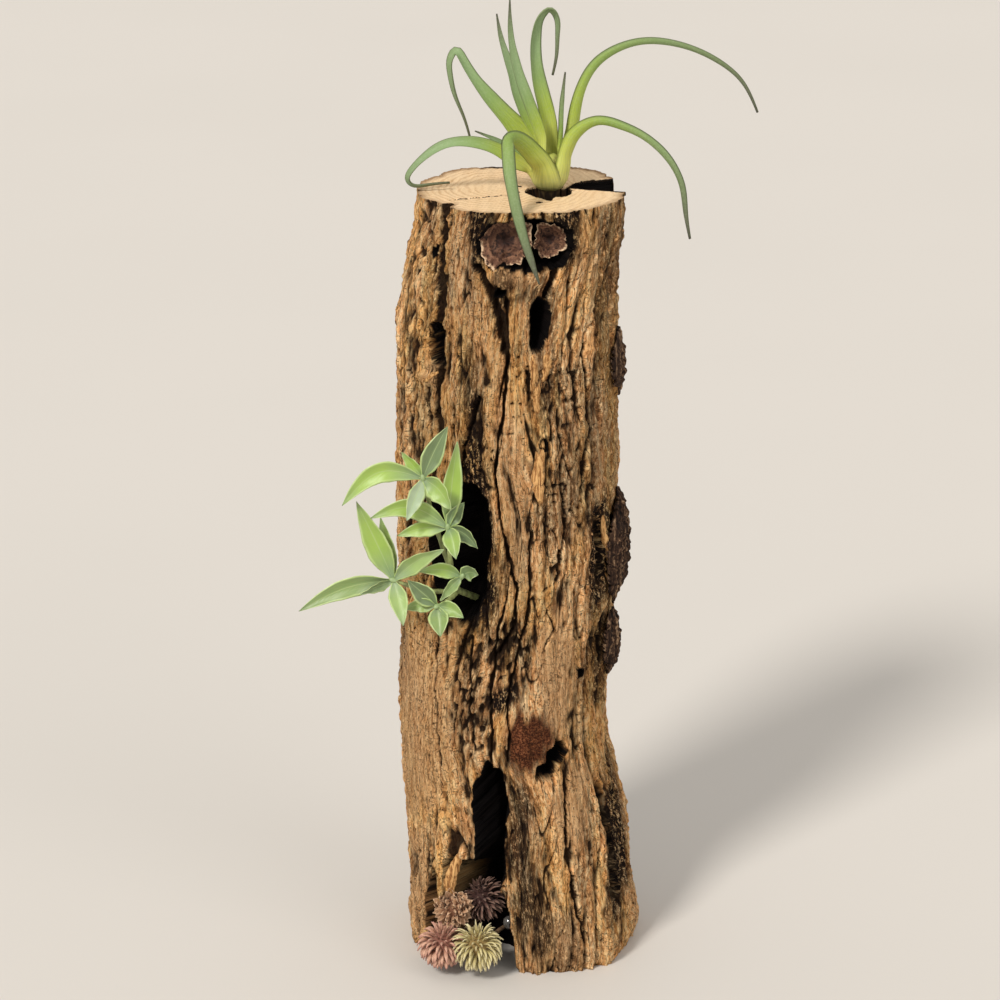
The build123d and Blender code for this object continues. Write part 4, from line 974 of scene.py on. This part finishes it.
def bract_material(name, low, middle, tip, dark):
    s = Shader("dry flower " + name, 0.75, 0.25, Sheen_Weight=0.1)
    along, side, tint = (s.attribute(key) for key in ("along", "side", "tint"))
    lines = s.vector(side * 3.0, along * 1.5, tint * 17.0).noise(4, 0.65, scale=2.0)
    bract = along.ramp((0.15, dark), (0.4, low), (0.72, middle), (0.97, tip))
    bract = bract.cover(lines.ramp((0.38, 0.6), (0.58, 0.0)), dark)
    bract = bract.cover(tint.ramp((0.0, 0.35), (0.6, 0.0)), dark)
    return s.dress(bract.cover(abs(side).ramp((0.6, 0.0), (0.95, 0.35)), tip), (lines, 0.3, 0.7))


def dry_head(name):
    """A head of overlapping curved bracts round a dark core."""
    centre, radius, faces_way, count, length_share, width_share, pull, colours = HEADS[name]
    centre, axis = np.array(centre), unit(faces_way)
    side_way = unit(np.cross(axis, np.array([0.1, 0.2, 1.0])))
    third = np.cross(axis, side_way)
    rng = np.random.default_rng(len(name) + count)
    rows = np.linspace(-0.96, 0.96, 12)
    core = radius * HEAD_CORE_SHARE
    pile = Pile()
    pile.add(straight_rings(centre, axis, rows * core, core * np.sqrt(1 - rows**2), 16), along=0.1, side=0.0, tint=0.3)
    along = np.linspace(0, 1, 10)
    outline = radius * width_share * np.interp(along, [0, 0.3, 0.55, 0.8, 1], [0.5, 0.85, 1.0, 0.66, 0.05])
    for i in range(count):
        depth = 1 - 1.72 * (i + 0.5) / count
        swing = i * math.pi * (3 - math.sqrt(5)) + rng.uniform(-0.15, 0.15)
        out = math.sqrt(1 - depth * depth)
        way = axis * depth + (side_way * math.cos(swing) + third * math.sin(swing)) * out
        inner = 0.35 + 0.65 * min(1.0, (i + 6) / count * 1.6)
        tip_way = unit(way + np.array(pull) * out + axis * 0.25 * (1 - out))
        reach = min(radius * length_share * rng.uniform(0.86, 1.0), radius * 1.02)
        bend = unit(way * 0.7 + tip_way * 0.3) * radius * 0.84
        route = [way * radius * 0.3, way * radius * 0.62, bend, tip_way * reach]
        places, ways = smooth_line(centre + np.array(route), len(along))
        outward = unit(places - centre)
        across = unit(np.cross(ways, outward + 0.01 * side_way))
        raised = -unit(np.cross(across, ways))
        raised = np.where((raised * outward).sum(-1, keepdims=True) > 0, -raised, raised)
        rings, side, upper = leaf_rings(places, across, raised, outline * inner, 0.3, 0.22, 7)
        pile.add(rings, along=along[:, None], side=side, tint=rng.uniform(0, 1))
    look = bract_material(name, *colours)
    pile.make("bracts_" + name, look, "log", "flower_head_" + name, "dry_flower_" + name)


def make_heads():
    stalk = mottled(
        "dry stem", 0.8, 0.5, (1, 1), (3, 0.6),
        [(0.35, (0.09, 0.05, 0.025)), (0.65, (0.22, 0.13, 0.065))], (0.3, 0.6),
    )
    outward = level_way(FOOT_TURN)
    wrinkles = 0.84 * (1 + 0.08 * np.sin(np.arange(14) * 2.1))
    for name in HEADS:
        dry_head(name)
        points = node_points("flower_stem_" + name)
        middle, run = points.mean(0), points @ outward
        steps = np.linspace(run.min(), run.max(), len(wrinkles)) - middle @ outward
        pile = Pile().add(straight_rings(middle, outward, steps, wrinkles))
        pile.make("stalk_" + name, stalk, "log", "flower_stem_" + name, "dry_stem")


# Fungus, loose bark and glue


def make_fungus():
    s = Shader("shelf fungus", 0.7, 0.3)
    grain = s.place(0.55, 0.55).noise(4, 0.65)
    cap = (s.attribute("along") + (grain - 0.5) * 0.75).ramp(
        (0.0, (0.022, 0.009, 0.006)), (0.26, (0.06, 0.024, 0.015)), (0.44, (0.17, 0.08, 0.044)),
        (0.58, (0.07, 0.028, 0.017)), (0.7, (0.29, 0.145, 0.08)), (0.82, (0.13, 0.055, 0.033)),
        (0.93, (0.33, 0.18, 0.1)), (0.985, (0.74, 0.52, 0.33)),
    )
    look = s.dress(cap.cover(grain.ramp((0.38, 0.9), (0.49, 0.0)), (0.016, 0.007, 0.005)), (grain, 1.0, 1.0))
    outward, sideways = level_way(KNOT_TURN), level_way(KNOT_TURN + 90)
    for name, (seed, grow_width, grow_height, shift) in SHELVES.items():
        local = node_points("fungus_shelf_" + name) @ np.stack([sideways, UPWARD, outward]).T
        low, high = local.min(0), local.max(0)
        half_width, half_height = (high - low)[:2] / 2 * (grow_width, grow_height)
        reach = high[2] - low[2] + 1.6
        rng = np.random.default_rng(seed)
        turn = turns_round(120)

        def waves(*terms):
            return sum(size * np.sin(k * turn + rng.uniform(0, 6)) for k, size in terms)

        wave = waves((2, 0.06), (3, 0.08), (5, 0.07), (8, 0.05), (13, 0.035), (21, 0.02))
        pleat = waves((3, 0.16), (5, 0.12), (8, 0.1), (13, 0.07))
        lip = 0.62 - 0.38 * np.sin(turn)
        centre = (np.append((low + high)[:2] / 2 + shift, low[2])) @ np.stack([sideways, UPWARD, outward])
        rings = []
        for out_share, size, _ in SHELF_ROWS:
            grow = size * (1 + (wave - 0.06) * size)
            lift = np.minimum(reach * out_share * (lip * (1 + pleat * size) if out_share > 0.1 else 1.0), reach)
            spread = np.outer(half_width * grow * np.cos(turn), sideways)
            spread = spread + np.outer(half_height * grow * np.sin(turn), UPWARD)
            rings.append(centre + spread + np.outer(lift + 0 * turn, outward))
        pile = Pile().add(np.array(rings), along=np.array(SHELF_ROWS)[:, 2:])
        pile.make("shelf_" + name, look, "log", "fungus_shelf_" + name, "shelf_fungus")


def strip_ring(tree, height, share):
    """One level ring round a loose strip: its ridged outside, then its inside back again."""
    centre_x, centre_y = axis_at(height)
    centre = Vector((centre_x, centre_y, height))

    def cast(angle, inward):
        way = Vector((math.cos(angle), math.sin(angle), 0))
        hit = tree.ray_cast(centre + way * RAY_REACH, -way) if inward else tree.ray_cast(centre, way)
        return None if hit[0] is None else (RAY_REACH - hit[3] if inward else hit[3])

    hits = [angle for angle in np.radians(np.arange(-34, 22, 0.75)) if cast(angle, True) is not None]
    if len(hits) < 3:
        return None
    ragged = abs(0.035 * math.sin(height * 0.9) + 0.03 * math.sin(height * 2.3 + 1))
    dent = 0.9 * abs(math.sin(height * 0.47 + 3 * math.sin(height * 0.11))) + 0.6 * abs(math.sin(height * 1.3))
    outer, inner = [], []
    for angle in np.linspace(min(hits) + ragged, max(hits) - ragged * 0.6, STRIP_COLUMNS):
        far, near = cast(angle, True), cast(angle, False)
        if far is None or near is None:
            far = near = outer[-1][1] if outer else 36.0
        ridge = 1.2 * abs(math.sin(angle * 22 + 0.05 * height + 0.6 * math.sin(height * 0.13))) ** 0.6
        grit = 0.35 * math.sin(angle * 61 + height * 0.31) + 0.25 * math.sin(angle * 97 - height * 0.8)
        body = max(far - near, 0.0)
        relief = min(body, 1.0) * (ridge + 0.7 * grit)
        outer.append((angle, far - min(body * 0.6, 0.9) + relief - min(body * 0.4, dent)))
        inner.append((angle, near + 0.05))
    line = [(angle, max(reach, back)) for (angle, reach), (_, back) in zip(outer, inner)] + inner[-2:0:-1]
    wave = 1.2 if 0.04 < share < 0.96 else 0.36
    return [
        (centre_x + reach * math.cos(angle), centre_y + reach * math.sin(angle), height + wave * math.sin(angle * 40))
        for angle, reach in line
    ]


def make_strips():
    """Loose bark: the outside and inside of each CAD strip, with ridges and ragged ends."""
    s = Shader("loose bark", 0.88, 0.2)
    strands = s.place(0.75, 0.07).noise(5, 0.65, 0.4)
    specks = s.place(2.4, 0.9).noise(4, 0.7)
    bark = strands.ramp(
        (0.36, (0.006, 0.003, 0.002)), (0.48, (0.04, 0.019, 0.011)), (0.56, (0.13, 0.07, 0.038)),
        (0.66, (0.42, 0.27, 0.155)),
    )
    bark = bark.cover(specks.ramp((0.38, 0.9), (0.5, 0.0)), (0.008, 0.004, 0.003))
    look = s.dress(bark, (strands + specks * 0.5, 0.8, 0.9))
    for name in ("upper", "middle", "lower"):
        node = "bark_strip_" + name
        tree, heights = node_tree(node), node_points(node)[:, 2]
        low, high = heights.min(), heights.max()
        rows = np.linspace(low + 0.4, high - 0.4, STRIP_ROWS)
        rings = [strip_ring(tree, height, (height - low) / (high - low)) for height in rows]
        pile = Pile().add(np.array([ring for ring in rings if ring]))
        pile.make("slab_" + name, look, "log", node, "loose_bark")


def make_glue():
    # The glue is coloured dark grey as painted shade of the hollow that it sits in; its gloss and clearness are the
    # glue's own
    look = mottled(
        "glue", 0.12, 0.7, (0.6, 0.6), (2, 0.5), [(0.3, (0.05, 0.045, 0.04)), (0.7, (0.17, 0.16, 0.145))], (0.2, 0.3),
        Transmission_Weight=0.35,
    )
    points = node_points("glue_bead")
    low, high = points.min(0), points.max(0)
    middle, radius = (low + high) / 2, (high[2] - low[2]) / 2
    rows, turn = np.linspace(-0.98, 0.98, 22)[:, None], turns_round(28)
    reach = np.sqrt(1 - rows**2) * (1 - 0.12 * np.abs(np.sin(turn * 1.5 + rows * 2))) * radius
    rings = level_rings(middle, reach, turn, middle[2] + rows * radius)
    Pile().add(rings).make("glue_blob", look, "log", "glue_bead", "glue")


# Camera, light and floor


def make_camera():
    data = bpy.data.cameras.new("camera")
    data.lens = CAMERA_LENS
    data.sensor_width = 36
    camera = in_scene("camera", data)
    camera.location = [c * MM for c in CAMERA_PLACE]
    camera.rotation_euler = (math.radians(90 - CAMERA_DOWN), 0, 0)
    bpy.context.scene.camera = camera


def make_studio():
    for name, place, angle, strength, colour in SUNS:
        data = bpy.data.lights.new(name, "SUN")
        data.angle, data.energy, data.color = math.radians(angle), strength, colour
        in_scene(name, data).rotation_euler = Vector(place).to_track_quat("Z", "Y").to_euler()
    world = bpy.data.worlds.new("studio")
    bpy.context.scene.world = world
    world.use_nodes = True
    nodes = world.node_tree.nodes
    lit = nodes["Background"]
    seen, path, either, blend = (
        nodes.new("ShaderNode" + kind) for kind in ("Background", "LightPath", "Math", "MixShader")
    )
    either.operation = "MAXIMUM"
    seen.inputs["Color"].default_value = (*WALL_COLOUR, 1)
    lit.inputs["Color"].default_value = (*SKY_COLOUR, 1)
    lit.inputs["Strength"].default_value = SKY_STRENGTH
    for output, target in (
        (path.outputs["Is Camera Ray"], either.inputs[0]), (path.outputs["Is Glossy Ray"], either.inputs[1]),
        (either.outputs[0], blend.inputs[0]), (lit.outputs[0], blend.inputs[1]), (seen.outputs[0], blend.inputs[2]),
        (blend.outputs[0], nodes["World Output"].inputs["Surface"]),
    ):
        world.node_tree.links.new(output, target)
    s = Shader("pale floor", 0.6)
    cloud = s.place(MM, MM).noise(2, 0.55, scale=3)
    look = s.dress(s.mix(cloud.ramp((0.4, 0.0), (0.6, 0.35)), *FLOOR_COLOURS))
    mesh = bpy.data.meshes.new("floor")
    corners = [(x * FLOOR_HALF, y * FLOOR_HALF, 0) for x, y in ((-1, -1), (1, -1), (1, 1), (-1, 1))]
    mesh.from_pydata(corners, [], [(0, 1, 2, 3)])
    mesh.materials.append(look)
    in_scene("floor", mesh)
    bpy.context.scene.view_settings.view_transform = "Standard"


make_camera()
make_studio()
dressed_wood = make_trunk()
leaf_look = leaf_material()
for leaf_name in LEAVES:
    strap_leaf(leaf_name, leaf_look)
make_bulb()
make_sprig()
make_heads()
make_fungus()
make_strips()
make_splinters(dressed_wood)
make_glue()
